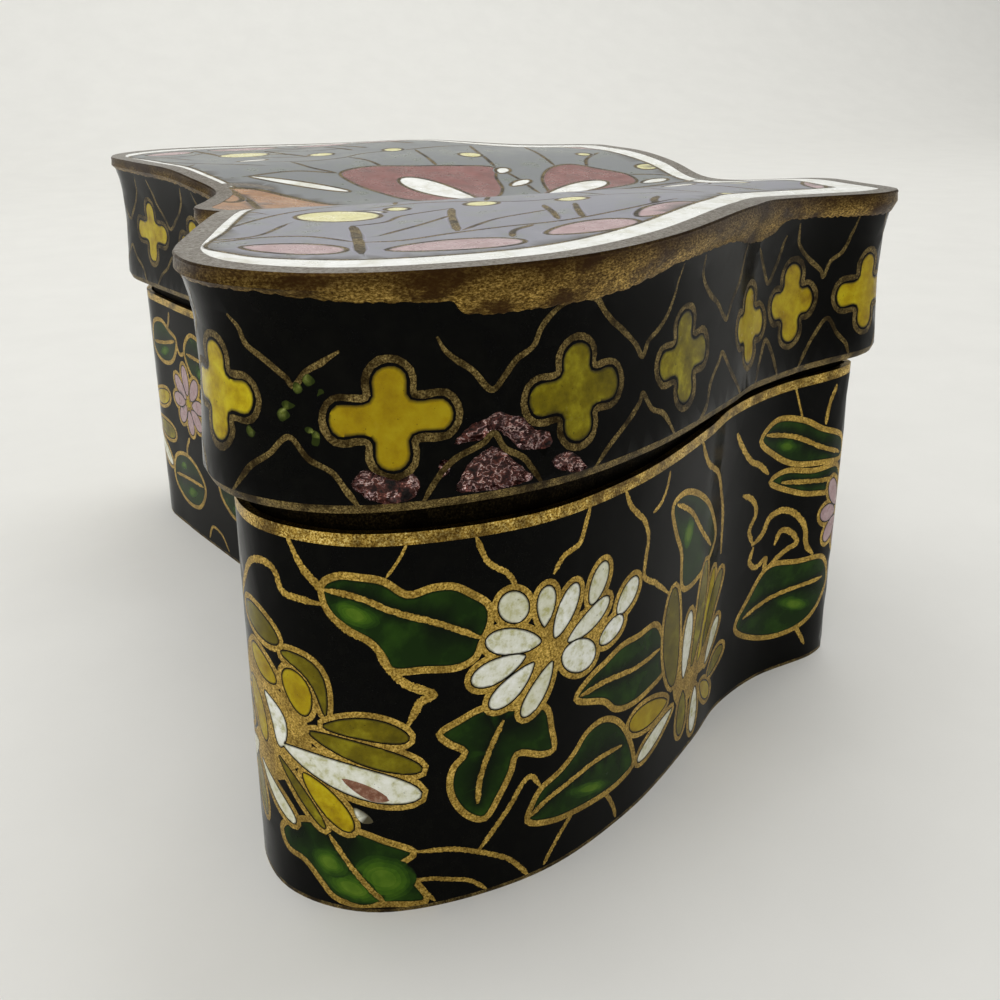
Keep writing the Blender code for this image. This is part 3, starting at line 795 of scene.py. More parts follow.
# Each twig: its width, then its run
TWIGS = (
    (0.6, ((43.0, 27.9), (44.3, 25.6), (45.6, 24.4), (45.9, 23.3), (47.2, 22.0), (49.3, 20.9), (49.9, 19.6),
           (51.2, 18.0),
           (53.1, 16.9), (52.2, 16.5), (51.8, 15.8), (51.2, 14.8))),
    (0.5, ((35.4, 21.1), (37.0, 23.1), (38.8, 24.8), (40.5, 25.3), (41.7, 25.0), (42.4, 23.7), (43.8, 23.5),
           (45.7, 23.4))),
    (0.2, ((51.8, 27.4), (51.2, 26.4), (50.3, 25.3))),
    (0.4, ((56.4, 27.4), (57.2, 25.6), (58.7, 24.4), (59.3, 23.4))),
    (0.42, ((65.8, 27.6), (65.1, 25.8), (64.7, 25.1), (63.2, 24.6), (62.3, 23.6))),
    (0.45, ((69.4, 27.8), (70.3, 26.0), (72.0, 24.4), (72.6, 23.0), (72.3, 21.2), (72.2, 20.0),
            (74.0, 18.7), (76.3, 16.8))),
    (0.35, ((75.6, 27.0), (75.2, 25.9), (74.4, 25.0), (73.2, 24.6))),
    (0.4, ((51.2, 4.9), (53.8, 4.6), (55.2, 4.1), (56.8, 3.3), (58.3, 2.3), (59.3, 1.1), (59.9, 0.2))),
    (0.35, ((51.0, 2.5), (52.4, 2.4), (53.8, 2.0), (55.2, 1.5), (56.5, 0.3))),
    (0.3, ((50.8, 0.9), (51.6, 1.6), (52.6, 0.4))),
    (0.42, ((55.9, 3.8), (57.3, 5.4), (58.6, 7.0), (59.6, 8.4), (60.2, 8.7), (61.1, 7.5))),
    (0.38, ((61.3, 0.5), (62.0, 1.5), (63.2, 2.9), (64.2, 3.8))),
    (0.38, ((66.6, 3.6), (67.7, 3.5), (68.8, 1.8), (69.2, 0.5))),
    (0.5, ((81.1, 27.6), (82.6, 25.3), (85.3, 23.4), (86.2, 21.6), (86.8, 19.6), (87.0, 15.6))),
    (0.5, ((88.6, 25.6), (89.4, 24.4), (91.1, 22.4), (92.4, 21.6), (93.7, 20.4))),
    (0.5, ((96.1, 27.4), (97.1, 24.7))),
    (0.5, ((100.2, 23.4), (100.4, 25.0), (101.3, 26.8))),
    (0.6, ((92.1, 14.2), (93.5, 14.8), (94.3, 16.1), (95.9, 16.4), (97.5, 15.6), (98.8, 14.0), (99.2, 12.2),
           (100.3, 11.0))),
    (0.55, ((95.2, 13.2), (95.9, 14.4), (97.3, 13.8), (97.9, 12.7), (96.9, 12.4), (96.0, 12.0),
            (94.8, 11.4))),
    (0.5, ((92.4, 14.0), (92.0, 12.6), (93.0, 11.8), (94.2, 12.2), (94.0, 10.8))),
    (0.5, ((90.2, 19.6), (91.8, 18.6), (92.4, 17.2), (91.6, 15.8), (92.2, 14.4))),
    (0.45, ((96.4, 7.2), (97.6, 5.4), (99.2, 3.4), (100.4, 1.6))),
    (0.45, ((28.0, 26.8), (28.6, 25.4), (29.6, 24.4))),
    (0.45, ((24.4, 22.8), (26.0, 22.4), (26.8, 23.6))),
    (0.45, ((25.6, 12.4), (26.6, 11.0), (27.0, 9.6))),
    (0.4, ((20.6, 13.8), (18.8, 13.0), (17.4, 11.8))),
    (0.4, ((12.6, 19.2), (15.6, 18.6), (19.0, 16.8), (21.0, 16.4))),
    (0.4, ((2.2, 27.2), (3.6, 24.6), (5.0, 22.4))),
    (0.4, ((5.8, 18.2), (4.8, 15.0), (6.8, 12.4), (10.2, 10.6))),
    (0.35, ((3.0, 0.8), (4.6, 3.2), (7.6, 4.2), (10.4, 2.6), (11.4, 0.6))),
    (0.35, ((17.4, 0.6), (19.0, 2.2), (21.4, 2.4), (22.6, 0.6))),
    (0.4, ((105.4, 27.2), (107.0, 24.6), (111.2, 22.6))),
    (0.4, ((106.6, 13.0), (107.6, 11.6), (109.2, 9.8))),
    (0.4, ((116.2, 18.8), (117.0, 15.6), (120.4, 13.8), (124.2, 14.4))),
    (0.4, ((121.4, 27.2), (122.8, 24.0), (126.4, 21.6), (128.0, 18.0))),
    (0.35, ((118.8, 0.6), (120.6, 3.4), (124.2, 4.4), (127.6, 3.0), (129.0, 0.6))),
)
PINK_CENTRES = ((24.8, 16.8), (104.8, 14.6))

# Brass between the petals, as ovals: centre, length, width and lean
TALL_HEART = (((80.4, 8.0), 5.6, 6.4), ((83.2, 8.6), 4.6, 6.4, 70))
WHITE_HEART = (((62.2, 18.4), 4.6, 4.4), ((65.4, 18.4), 4.6, 3.4))
GOLD_HEART = (((40.8, 13.4), 6.4, 6.0), ((38.0, 16.0), 5.0, 6.0), ((39.0, 10.6), 5.6, 3.4))

# A stain on the long white petal, and a fleck of white enamel under it
RUSSET_STAIN = ((46.2, 10.9), (47.6, 10.7), (48.9, 10.1), (49.7, 9.3), (48.6, 9.2), (47.0, 10.1))
STRAY_WHITE = ((47.0, 8.7), (47.9, 8.3), (48.4, 7.6), (47.6, 7.5), (47.1, 8.0))

PETAL_WIRE = 0.5
BLUNTER = 0.08             # petals' roots are drawn this much blunter
PETAL_SHADE_LINE = 0.09           # painted shade line, in black, round each petal
LEAF_WIRE = 0.5
PATCH_STEPS = 5            # nested shapes that make a leaf's bright patch


def draw_flower(drawing, petals, place, heart=()):
    """Petals set in one mass of brass, each with its own painted shade line in black; heart is ovals of brass
    between them.
    """
    shapes = []
    for root, tip, width, bow, blunt, enamel_kind in petals:
        shapes.append((np.array(place(petal(root, tip, width, bow, min(1.0, blunt + BLUNTER)))),
                       enamel_kind))
    for facts in heart:
        drawing.fill(place(oval(*facts)), BRASS)
    for shape, _enamel in shapes:
        drawing.fill(inset_outline(ahead_round(shape), -PETAL_WIRE, FINE_STEP), BRASS)
    for shape, enamel_kind in shapes:
        outline = ahead_round(shape)
        tone = drawing.hand.random()
        # Black round the petal: painted shade where its enamel meets the brass.
        drawing.fill(inset_outline(outline, -PETAL_SHADE_LINE, 0.03), BLACK)
        drawing.fill(outline, enamel_kind, tone)
        drawing.fill(inset_outline(outline, SHADE_LINE_WIDTH * 0.8, FINE_STEP), enamel_kind, tone)


def ahead_round(points):
    """A closed polygon turned anticlockwise."""
    turned = np.roll(points, -1, axis=0)
    area = (points[:, 0] * turned[:, 1] - points[:, 1] * turned[:, 0]).sum()
    return points if area > 0 else points[::-1]


def draw_leaf(drawing, outline, middle, patches, place):
    """A leaf with its wire round it, brighter patches and a middle wire."""
    shape = ahead_round(np.array(place(soft_shape(outline))))
    drawing.fill(inset_outline(shape, -LEAF_WIRE / 2, FINE_STEP), BRASS)
    drawing.fill(inset_outline(shape, LEAF_WIRE / 2, FINE_STEP), LEAF, 0.0)
    drawing.fill(inset_outline(shape, LEAF_WIRE / 2 + SHADE_LINE_WIDTH, FINE_STEP), LEAF, 0.0)
    for along, up, length, width in patches:
        for step in range(PATCH_STEPS):
            share = 1.35 - step / PATCH_STEPS
            patch = soft_shape(oval((along, up), length * share, width * share, -18.0)[::4], 0.36)
            drawing.fill(place(drawing.uneven(patch, 0.1 * share)), LEAF, (step + 1) / PATCH_STEPS)
    drawing.wire(place(open_curve(middle)), LEAF_WIRE * 0.85)


def base_wall_drawing():
    """Flowers, leaves and twigs on black, the far wing's the mirror image of the near one's."""
    ground = [(0, 0), (LAP, 0), (LAP, BASE_MOUTH_HEIGHT), (0, BASE_MOUTH_HEIGHT)]
    drawing = Drawing(ground, BLACK, 23)
    drawing.points_in((0, 0), (LAP, BASE_MOUTH_HEIGHT), WALL_GRID)
    for place in (np.array, other_wing):
        for width, run in TWIGS:
            drawing.wire(place(open_curve(run)), width)
        for outline, middle, patches in LEAVES:
            draw_leaf(drawing, outline, middle, patches, place)
        for centre in PINK_CENTRES:
            def set_out(points, centre=centre):
                return place(np.array(points) + centre)
            draw_flower(drawing, PINK_FLOWER, set_out)
            drawing.fill(set_out(oval((0.0, 0.0), 1.2, 1.1)), YELLOW)
        draw_flower(drawing, TALL_FLOWER, place, TALL_HEART)
        draw_flower(drawing, WHITE_FLOWER, place, WHITE_HEART)
        draw_flower(drawing, GOLD_FLOWER, place, GOLD_HEART)
        drawing.fill(place(soft_shape(RUSSET_STAIN)), RUSSET)
        drawing.fill(place(soft_shape(STRAY_WHITE, 0.2)), WHITE)
    drawing.fill([(0, BASE_MOUTH_HEIGHT - GILT_MOUTH), (LAP, BASE_MOUTH_HEIGHT - GILT_MOUTH),
                  (LAP, BASE_MOUTH_HEIGHT), (0, BASE_MOUTH_HEIGHT)], GILT)
    drawing.fill([(0, 0), (LAP, 0), (LAP, GILT_FOOT), (0, GILT_FOOT)], OLD_WIRE)
    return drawing


# Lid's top, in plan places in mm, drawn for the near wing

BORDER_ALONG = (0.0, 8.0, 28.0, 34.5, 38.0, 46.0, 60.0, 84.0, 92.0, 104.0, 112.0, 132.1)
BORDER_WIDTHS = (0.1, 0.6, 0.7, 0.05, 1.3, 2.2, 2.1, 2.0, 3.0, 3.2, 2.6, 1.2)

PINK_OVALS = (
    ((-26.0, -33.4), (-20.8, -37.4), 3.4, 0.1), ((-18.6, -38.0), (-10.2, -38.4), 3.6, 0.3),
    ((-8.2, -37.2), (-1.4, -36.2), 3.4, 0.3), ((-0.8, -35.4), (5.2, -32.6), 2.8, 0.2),
    ((22.6, -24.6), (26.0, -18.8), 1.8, 0.2),
)
CREAM_SPOTS = (((-17.8, -23.6), 5.2, 6.0), ((-13.0, -21.8), 2.0, 1.8), ((-6.6, -22.2), 2.8, 2.6),
               ((-0.4, -24.8), 3.0, 2.4),
               ((11.4, -27.6), 2.2, 1.6), ((20.6, -15.6), 2.4, 2.0))
FAR_SPOTS = (((-15.6, 29.6), 5.0, 6.0), ((-7.7, 25.0), 2.8, 3.0), ((0.6, 24.3), 2.4, 2.4),
             ((7.9, 18.3), 2.8, 2.6),
             ((21.3, 16.3), 1.8, 1.8), ((25.4, 8.7), 2.6, 2.8))
RED_FIELDS = (
    ((-8.6, 12.8), (-5.4, 14.8), (0.4, 14.2), (5.0, 13.6), (8.4, 12.4), (7.2, 8.8), (6.2, 4.6), (3.4, 1.0),
     (-3.8, 1.9),
     (-6.4, 5.6), (-8.2, 9.2)),
    ((10.6, 3.2), (12.2, 8.0), (14.8, 11.2), (17.4, 12.0), (19.8, 9.4), (21.6, 6.4), (20.6, 2.6),
     (14.0, 1.0), (10.2, 0.9)),
)
WHITE_DROPS = (((2.2, 0.5), (-2.7, 10.4), 4.0), ((9.0, 0.5), (18.0, 4.7), 3.4))
WHITE_STREAKS = (
    ((-18.0, 12.8), (-9.2, 6.4), 1.7), ((-17.6, 21.6), (-14.2, 23.0), 1.6), ((8.2, 10.2), (9.6, 12.0), 1.6),
    ((7.6, 5.6), (10.4, 7.4), 1.5), ((21.0, 2.0), (24.4, 2.8), 1.9),
)
VEINS = (
    (0.6, ((-18.0, -28.2), (-18.6, -31.4), (-19.3, -34.6), (-20.2, -38.6))),
    (0.55, ((-9.4, -23.4), (-11.2, -28.6), (-12.6, -33.4))),
    (0.42, ((-3.6, -26.6), (-4.4, -29.6), (-5.4, -33.0))),
    (0.42, ((-1.6, -27.6), (-2.8, -30.6), (-3.8, -33.4))),
    (0.5, ((4.6, -28.6), (3.4, -30.2), (2.4, -32.0))),
    (0.3, ((-27.8, -30.6), (-24.8, -30.1), (-21.7, -25.6))),
    (0.3, ((-27.4, -31.4), (-24.0, -30.6), (-21.6, -31.4), (-19.4, -34.8))),
    (0.3, ((-28.0, -30.2), (-25.6, -26.0), (-21.2, -20.8), (-15.4, -17.4))),
    (0.3, ((-19.3, -34.8), (-17.0, -35.2), (-13.2, -34.0), (-9.4, -33.4), (-5.2, -33.6), (0.6, -32.4),
           (5.0, -30.6))),
    (0.3, ((-17.6, -33.0), (-13.4, -29.4), (-10.6, -26.8))),
    (0.3, ((-12.2, -33.2), (-8.6, -30.2), (-4.2, -29.0))),
    (0.3, ((-18.0, -28.4), (-15.6, -27.6), (-13.8, -25.4), (-9.4, -23.4))),
    (0.4, ((-10.4, -37.0), (-9.4, -35.0), (-7.6, -33.8))),
    (0.3, ((-22.2, -20.4), (-24.2, -15.0), (-20.6, -12.6))),
    (0.3, ((-14.6, -20.4), (-10.2, -19.2), (-6.4, -20.6), (-3.2, -23.2), (1.8, -23.6), (6.8, -25.0),
           (11.0, -25.8))),
    (0.35, ((-12.4, -19.2), (-11.0, -15.4), (-9.0, -13.0))),
    (0.35, ((-5.6, -20.6), (-4.2, -17.4), (-3.6, -14.8))),
    (0.35, ((3.0, -23.4), (2.6, -18.6), (2.4, -14.0))),
    (0.35, ((10.6, -25.6), (9.4, -19.6), (8.6, -12.6))),
    (0.35, ((17.4, -24.6), (16.2, -18.4), (15.4, -11.6))),
    (0.35, ((23.6, -17.0), (20.4, -13.8), (18.8, -10.6))),
    (0.3, ((8.6, -12.4), (9.4, -8.0), (9.2, -2.0))),
    (0.3, ((-18.6, -12.6), (-13.2, -14.2), (-8.8, -12.8))),
    (0.3, ((21.6, -6.4), (24.6, -5.0), (26.8, -1.8))),
)
BODY = ((-24.9, 0.0), (-24.4, 3.0), (-22.8, 6.4), (-20.8, 8.4), (-18.4, 8.2), (-15.4, 5.0), (-12.8, 1.8),
        (-11.2, 0.0))
EYE = (-21.2, 4.9, 2.4)
HEAD_CURL = ((-21.4, 9.6), (-19.8, 9.9), (-18.0, 9.4), (-16.4, 8.0))
FAR_TONE = 0.8             # tone of the far wing's greyer enamel
NEAR_TONE = 0.0
CURL_WIDTH = 0.9
BODY_WIRE = 0.6
EYE_WIRE = 0.5


def over_both_wings(points):
    """A shape on the near wing, and its mirror image on the far one."""
    points = np.array(points, float)
    return points * (1, -1), points


def border_loop(shift):
    """A loop inside the lip, this far inside the white border's inner edge."""
    along = np.arange(OUTLINE_POINTS) / OUTLINE_POINTS * LAP
    width = np.interp(np.minimum(along, LAP - along), BORDER_ALONG, BORDER_WIDTHS)
    width = (np.roll(width, 1) + width * 2 + np.roll(width, -1)) / 4
    return plan_place(along, BEVEL_WIDTH + np.maximum(width + shift, -0.2))


def field_at(points):
    """Ground enamel of a wing, with its tone: the far wing's is greyer."""
    return LAVENDER, FAR_TONE if np.mean(np.array(points, float)[:, 1]) > 0 else NEAR_TONE


def lid_top_drawing():
    """Wings: white border, lavender cells, red fields with white drops, and an orange body at the head."""
    drawing = Drawing(inset_outline(LIP, BEVEL_WIDTH), LAVENDER, 5)
    drawing.spare.extend((x, y) for x in np.arange(-30, 30, TOP_GRID) for y in np.arange(-45, 45, TOP_GRID))
    drawing.fill(((-31, 0.6), (31, 0.6), (31, 46), (-31, 46)), LAVENDER, FAR_TONE)
    # Each vein first as a wider band of its wing's enamel, so that the painted shade line beside the vein stays
    # narrow.
    for width, line in VEINS:
        for wing in over_both_wings(line):
            ground, tone = field_at(wing)
            drawing.wire(wing, width + 2 * SHADE_LINE_WIDTH, ground, tone=tone)
    for width, line in VEINS:
        for wing in over_both_wings(line):
            drawing.wire(wing, width, OLD_WIRE)
    for outline in RED_FIELDS:
        for wing in over_both_wings(soft_shape(outline)):
            drawing.cell(wing, RED, FINE_WIRE, OLD_WIRE, 0.3, field_at(wing))
    for root, tip, width in WHITE_DROPS:
        for wing in over_both_wings(petal(root, tip, width)):
            drawing.cell(wing, CLEAN_WHITE, FINE_WIRE, OLD_WIRE, 0.0, (RED, 0.3))
    for root, tip, width in WHITE_STREAKS:
        for wing in over_both_wings(petal(root, tip, width, 0.0, 0.6)):
            drawing.cell(wing, CLEAN_WHITE, FINE_WIRE, OLD_WIRE, 0.3, field_at(wing))
    for spots, lean, tone in ((CREAM_SPOTS, 62.0, 0.2), (FAR_SPOTS, -62.0, 0.6)):
        for (x, y), length, width in spots:
            spot = oval((x, y), length, width, lean)
            drawing.cell(spot, CREAM, FINE_WIRE, OLD_WIRE, tone, field_at(spot))
    for root, tip, width, bow in PINK_OVALS:
        for wing in over_both_wings(petal(root, tip, width, bow, 0.5)):
            drawing.cell(wing, PINK, FINE_WIRE, OLD_WIRE, 0.1, field_at(wing))
    outside = inset_outline(LIP, BEVEL_WIDTH - 0.4)
    # The border's inner wire, its white enamel, and a second white ring that ends the painted shade line along
    # that wire.
    for shift, finish, tone in ((0.24, OLD_WIRE, 0.2), (0.0, CLEAN_WHITE, 0.0),
                                (-SHADE_LINE_WIDTH, CLEAN_WHITE, 0.0)):
        ring = np.vstack((outside, outside[:1], border_loop(shift)[:1], border_loop(shift)[::-1]))
        drawing.fill(ring, finish, tone)
    for wing in over_both_wings(HEAD_CURL):
        drawing.wire(wing, CURL_WIDTH, BEVEL)
    half = np.array(BODY)
    body = np.vstack((half * (1, -1), half[-2:0:-1]))
    drawing.cell(soft_shape(body), ORANGE, BODY_WIRE, OLD_WIRE, 0.2)
    drawing.wire(((-20.6, -8.2), (-19.6, -4.0), (-19.4, 0.0), (-19.6, 4.0), (-20.6, 8.2)), 0.6, OLD_WIRE)
    for side in (-1, 1):
        eye = oval((EYE[0], side * EYE[1]), EYE[2], EYE[2] * 1.5)
        drawing.cell(eye, ORANGE, EYE_WIRE, OLD_WIRE, 0.4, (ORANGE, 0.2))
    drawing.wire(((-11.2, 0.0), (2.0, 0.3), (14.0, -0.2), (26.4, 0.0)), 0.5, OLD_WIRE)
    return drawing


# Finishes

def new_material(name):
    """An empty node material with its shader."""
    material = bpy.data.materials.new(name)
    material.use_nodes = True
    nodes = material.node_tree.nodes
    return material, nodes, material.node_tree.links, nodes["Principled BSDF"]


def speckle(nodes, links, scale, detail=4.0, rough=0.6, streaked=1.0):
    """Noise over the object's own coordinates, drawn out level where it is streaked."""
    coordinates = nodes.new("ShaderNodeTexCoord")
    noise = nodes.new("ShaderNodeTexNoise")
    noise.inputs["Scale"].default_value = scale
    noise.inputs["Detail"].default_value = detail
    noise.inputs["Roughness"].default_value = rough
    if streaked == 1.0:
        links.new(coordinates.outputs["Object"], noise.inputs["Vector"])
        return noise.outputs["Fac"]
    stretch = nodes.new("ShaderNodeMapping")
    stretch.inputs["Scale"].default_value = (1 / streaked, 1 / streaked, 1.0)
    links.new(coordinates.outputs["Object"], stretch.inputs["Vector"])
    links.new(stretch.outputs["Vector"], noise.inputs["Vector"])
    return noise.outputs["Fac"]


def ramp(nodes, links, source, stops):
    """Colours along a value."""
    node = nodes.new("ShaderNodeValToRGB")
    while len(node.color_ramp.elements) < len(stops):
        node.color_ramp.elements.new(0.5)
    for element, (place, colour) in zip(node.color_ramp.elements, stops):
        element.position = place
        element.color = (*colour, 1.0)
    links.new(source, node.inputs["Fac"])
    return node.outputs["Color"]


def mix_colour(nodes, links, share, first, second, kind="MIX"):
    """Two colours mixed by a share."""
    node = nodes.new("ShaderNodeMix")
    node.data_type = "RGBA"
    node.blend_type = kind
    if isinstance(share, float):
        node.inputs["Factor"].default_value = share
    else:
        links.new(share, node.inputs["Factor"])
    for socket, value in ((node.inputs["A"], first), (node.inputs["B"], second)):
        if isinstance(value, tuple):
            socket.default_value = (*value, 1.0)
        else:
            links.new(value, socket)
    return node.outputs["Result"]


def attribute(nodes, name):
    """A value kept on the sheet."""
    node = nodes.new("ShaderNodeAttribute")
    node.attribute_name = name
    return node.outputs["Fac"]


def rescale(nodes, links, source, low, high, new_low, new_high):
    """A value moved from one range to another."""
    node = nodes.new("ShaderNodeMapRange")
    for name, value in (("From Min", low), ("From Max", high), ("To Min", new_low), ("To Max", new_high)):
        node.inputs[name].default_value = value
    links.new(source, node.inputs["Value"])
    return node.outputs["Result"]


def relief(nodes, links, shader, source, strength, depth_mm):
    """Fine bumps."""
    bump = nodes.new("ShaderNodeBump")
    bump.inputs["Strength"].default_value = strength
    bump.inputs["Distance"].default_value = depth_mm * MM
    links.new(source, bump.inputs["Height"])
    links.new(bump.outputs["Normal"], shader.inputs["Normal"])


def enamel(name, deep, middle, pale, edge, gloss=0.12, mottle=900.0, shine=0.35, deepening=0.4):
    """Fired enamel: mottled colour, a painted shade line at the wires, pits and a polished skin; tone deepens it.
    """
    material, nodes, links, shader = new_material(name)
    patches = speckle(nodes, links, mottle, 5.0, 0.65)
    colour = ramp(nodes, links, patches, ((0.3, deep), (0.5, middle), (0.68, pale)))
    tone = rescale(nodes, links, attribute(nodes, "tone"), 0.0, 1.0, 0.0, deepening)
    toned = mix_colour(nodes, links, tone, colour, deep)
    pits = speckle(nodes, links, 5200.0, 2.0, 0.5)
    pitted = mix_colour(nodes, links, rescale(nodes, links, pits, 0.7, 0.76, 0.0, 0.7), toned, edge)
    # Edge colour where inner is 0: a painted shade line along the wires.
    shade_lined = mix_colour(nodes, links, attribute(nodes, "inner"), edge, pitted)
    links.new(shade_lined, shader.inputs["Base Color"])
    wear = speckle(nodes, links, 420.0, 6.0, 0.6)
    links.new(rescale(nodes, links, wear, 0.3, 0.75, gloss, gloss + 0.2), shader.inputs["Roughness"])
    shader.inputs["Specular IOR Level"].default_value = shine
    relief(nodes, links, shader, pits, 0.12, 0.02)
    return material


def worn_metal(name, dark, middle, bright, grain=7500.0, rough=0.34, wear=0.75, oxide_and_shade=False, streaked=1.0):
    """Worn gilding or brass: bright grains, dark pits, patches of patina; if asked, dark where tone is low,
    partly for oxide and partly as painted shade.
    """
    material, nodes, links, shader = new_material(name)
    grains = speckle(nodes, links, grain, 3.0, 0.7, streaked)
    metal = ramp(nodes, links, grains, ((0.34, dark), (0.5, middle), (0.68, bright)))
    patches = speckle(nodes, links, 620.0, 4.0, 0.6, streaked)
    patina = mix_colour(nodes, links, rescale(nodes, links, patches, 0.43, 0.62, 0.0, wear), metal, dark)
    if oxide_and_shade:
        tone = rescale(nodes, links, attribute(nodes, "tone"), 0.15, 0.75, 0.8, 0.0)
        patina = mix_colour(nodes, links, tone, patina, dark)
    links.new(patina, shader.inputs["Base Color"])
    shader.inputs["Metallic"].default_value = 1.0
    links.new(rescale(nodes, links, grains, 0.3, 0.7, rough + 0.25, rough), shader.inputs["Roughness"])
    relief(nodes, links, shader, grains, 0.35, 0.03)
    return material


def leaf_enamel(name):
    """Dark green glass, bright green where tone is high."""
    material, nodes, links, shader = new_material(name)
    clouds = rescale(nodes, links, speckle(nodes, links, 500.0, 5.0, 0.6), 0.35, 0.7, -0.12, 0.3)
    brightness = nodes.new("ShaderNodeMath")
    brightness.operation = "MULTIPLY_ADD"
    links.new(attribute(nodes, "tone"), brightness.inputs[0])
    brightness.inputs[1].default_value = 0.75
    links.new(clouds, brightness.inputs[2])
    green = ramp(nodes, links, brightness.outputs["Value"], (
        (0.0, (0.007, 0.022, 0.002)), (0.3, (0.019, 0.054, 0.004)), (0.62, (0.046, 0.11, 0.006)),
        (1.0, (0.105, 0.185, 0.014)),
    ))
    # Nearly black where inner is 0: a painted shade line along the leaf's wire.
    shade_lined = mix_colour(nodes, links, attribute(nodes, "inner"), (0.002, 0.005, 0.001), green)
    links.new(shade_lined, shader.inputs["Base Color"])
    wear = speckle(nodes, links, 420.0, 6.0, 0.6)
    links.new(rescale(nodes, links, wear, 0.3, 0.75, 0.1, 0.3), shader.inputs["Roughness"])
    shader.inputs["Specular IOR Level"].default_value = 0.06
    relief(nodes, links, shader, wear, 0.15, 0.03)
    return material


def bare_copper(name):
    """Broken enamel: torn copper, lighter and darker by turns, with sharp pinkish glints painted into its colour
    as thin bright lines.
    """
    material, nodes, links, shader = new_material(name)
    streaks = speckle(nodes, links, 1300.0, 6.0, 0.62, 1.7)
    # The near-white narrow stops are painted glints; the other stops are the torn copper's own colours.
    torn_copper_and_glints = ramp(nodes, links, streaks, (
        (0.36, (0.008, 0.004, 0.003)), (0.44, (0.09, 0.026, 0.018)), (0.475, (0.3, 0.1, 0.07)),
        (0.487, (1.0, 0.84, 0.78)),
        (0.5, (0.2, 0.06, 0.04)), (0.54, (0.016, 0.006, 0.005)), (0.59, (0.2, 0.06, 0.045)),
        (0.61, (0.9, 0.66, 0.6)),
        (0.63, (0.05, 0.016, 0.012)),
    ))
    facets = ramp(nodes, links, attribute(nodes, "tone"),
                  ((0.1, (0.3, 0.26, 0.28)), (0.9, (1.0, 1.0, 1.0))))
    links.new(mix_colour(nodes, links, 1.0, facets, torn_copper_and_glints, "MULTIPLY"), shader.inputs["Base Color"])
    shader.inputs["Metallic"].default_value = 0.6
    links.new(rescale(nodes, links, streaks, 0.35, 0.65, 0.4, 0.15), shader.inputs["Roughness"])
    relief(nodes, links, shader, streaks, 0.8, 0.3)
    return material


DARK_GLASS = (0.001, 0.001, 0.001)
FINISHES = (
    enamel("black_ground", (0.001, 0.001, 0.001), (0.0015, 0.0015, 0.001), (0.003, 0.003, 0.002),
           DARK_GLASS, 0.08, 900.0, 0.04),
    worn_metal("brass_wire", (0.12, 0.068, 0.012), (0.46, 0.3, 0.055), (0.86, 0.6, 0.17), 7000.0, 0.3, 0.5),
    worn_metal("gilt_edge", (0.05, 0.025, 0.006), (0.5, 0.31, 0.05), (1.0, 0.8, 0.3), 7500.0, 0.22, 0.8),
    enamel("yellow_enamel", (0.24, 0.145, 0.001), (0.46, 0.34, 0.003), (0.6, 0.5, 0.012),
           (0.03, 0.02, 0.002), 0.12, 600.0, 0.1, 0.6),
    enamel("olive_enamel", (0.085, 0.066, 0.001), (0.19, 0.15, 0.002), (0.36, 0.31, 0.01),
           (0.02, 0.015, 0.002), 0.12, 600.0, 0.1, 0.7),
    enamel("white_enamel", (0.42, 0.4, 0.13), (0.78, 0.79, 0.68), (0.92, 0.93, 0.88), (0.05, 0.04, 0.012),
           0.12, 1400.0),
    leaf_enamel("leaf_enamel"),
    enamel("lavender_enamel", (0.13, 0.15, 0.125), (0.26, 0.25, 0.35), (0.38, 0.37, 0.45),
           (0.06, 0.055, 0.05), 0.25, 420.0, 0.3, 0.9),
    enamel("pink_enamel", (0.32, 0.2, 0.2), (0.4, 0.26, 0.27), (0.5, 0.36, 0.36), (0.05, 0.04, 0.04), 0.2),
    enamel("cream_enamel", (0.55, 0.5, 0.19), (0.74, 0.7, 0.32), (0.82, 0.79, 0.46), (0.08, 0.07, 0.03),
           0.2),
    enamel("red_enamel", (0.12, 0.03, 0.025), (0.19, 0.05, 0.042), (0.26, 0.08, 0.07), (0.03, 0.01, 0.01),
           0.2, 500.0),
    enamel("orange_enamel", (0.22, 0.09, 0.025), (0.33, 0.15, 0.05), (0.42, 0.22, 0.09), (0.05, 0.02, 0.01),
           0.2, 600.0),
    worn_metal("bevel_metal", (0.13, 0.105, 0.08), (0.2, 0.175, 0.145), (0.28, 0.25, 0.215), 4200.0, 0.24,
               0.6),
    bare_copper("chipped_copper"),
    enamel("lining_enamel", (0.01, 0.16, 0.2), (0.015, 0.24, 0.29), (0.04, 0.34, 0.38), (0.01, 0.05, 0.06),
           0.2),
    enamel("sprig_enamel", (0.04, 0.055, 0.006), (0.15, 0.18, 0.03), (0.3, 0.33, 0.1), (0.02, 0.03, 0.004),
           0.12, 3600.0, 0.05),
    worn_metal("old_wire", (0.02, 0.012, 0.004), (0.16, 0.11, 0.036), (0.42, 0.32, 0.12), 9000.0, 0.36,
               0.9),
    worn_metal("rim_band_metal", (0.035, 0.016, 0.005), (0.22, 0.135, 0.028), (0.66, 0.45, 0.13), 9500.0,
               0.3, 0.95, True, 2.0),
    enamel("russet_stain", (0.12, 0.04, 0.015), (0.25, 0.1, 0.05), (0.5, 0.35, 0.24), (0.2, 0.12, 0.07),
           0.2, 2600.0),
    # Gilding painted nearly black: painted shade for the gap between lid and base.
    worn_metal("shaded_gilding", (0.003, 0.002, 0.001), (0.01, 0.007, 0.003), (0.03, 0.022, 0.009), 7000.0,
               0.5),
    enamel("clean_white_enamel", (0.62, 0.61, 0.5), (0.82, 0.83, 0.79), (0.92, 0.93, 0.9),
           (0.08, 0.07, 0.04), 0.14, 500.0),
)


# Pieces

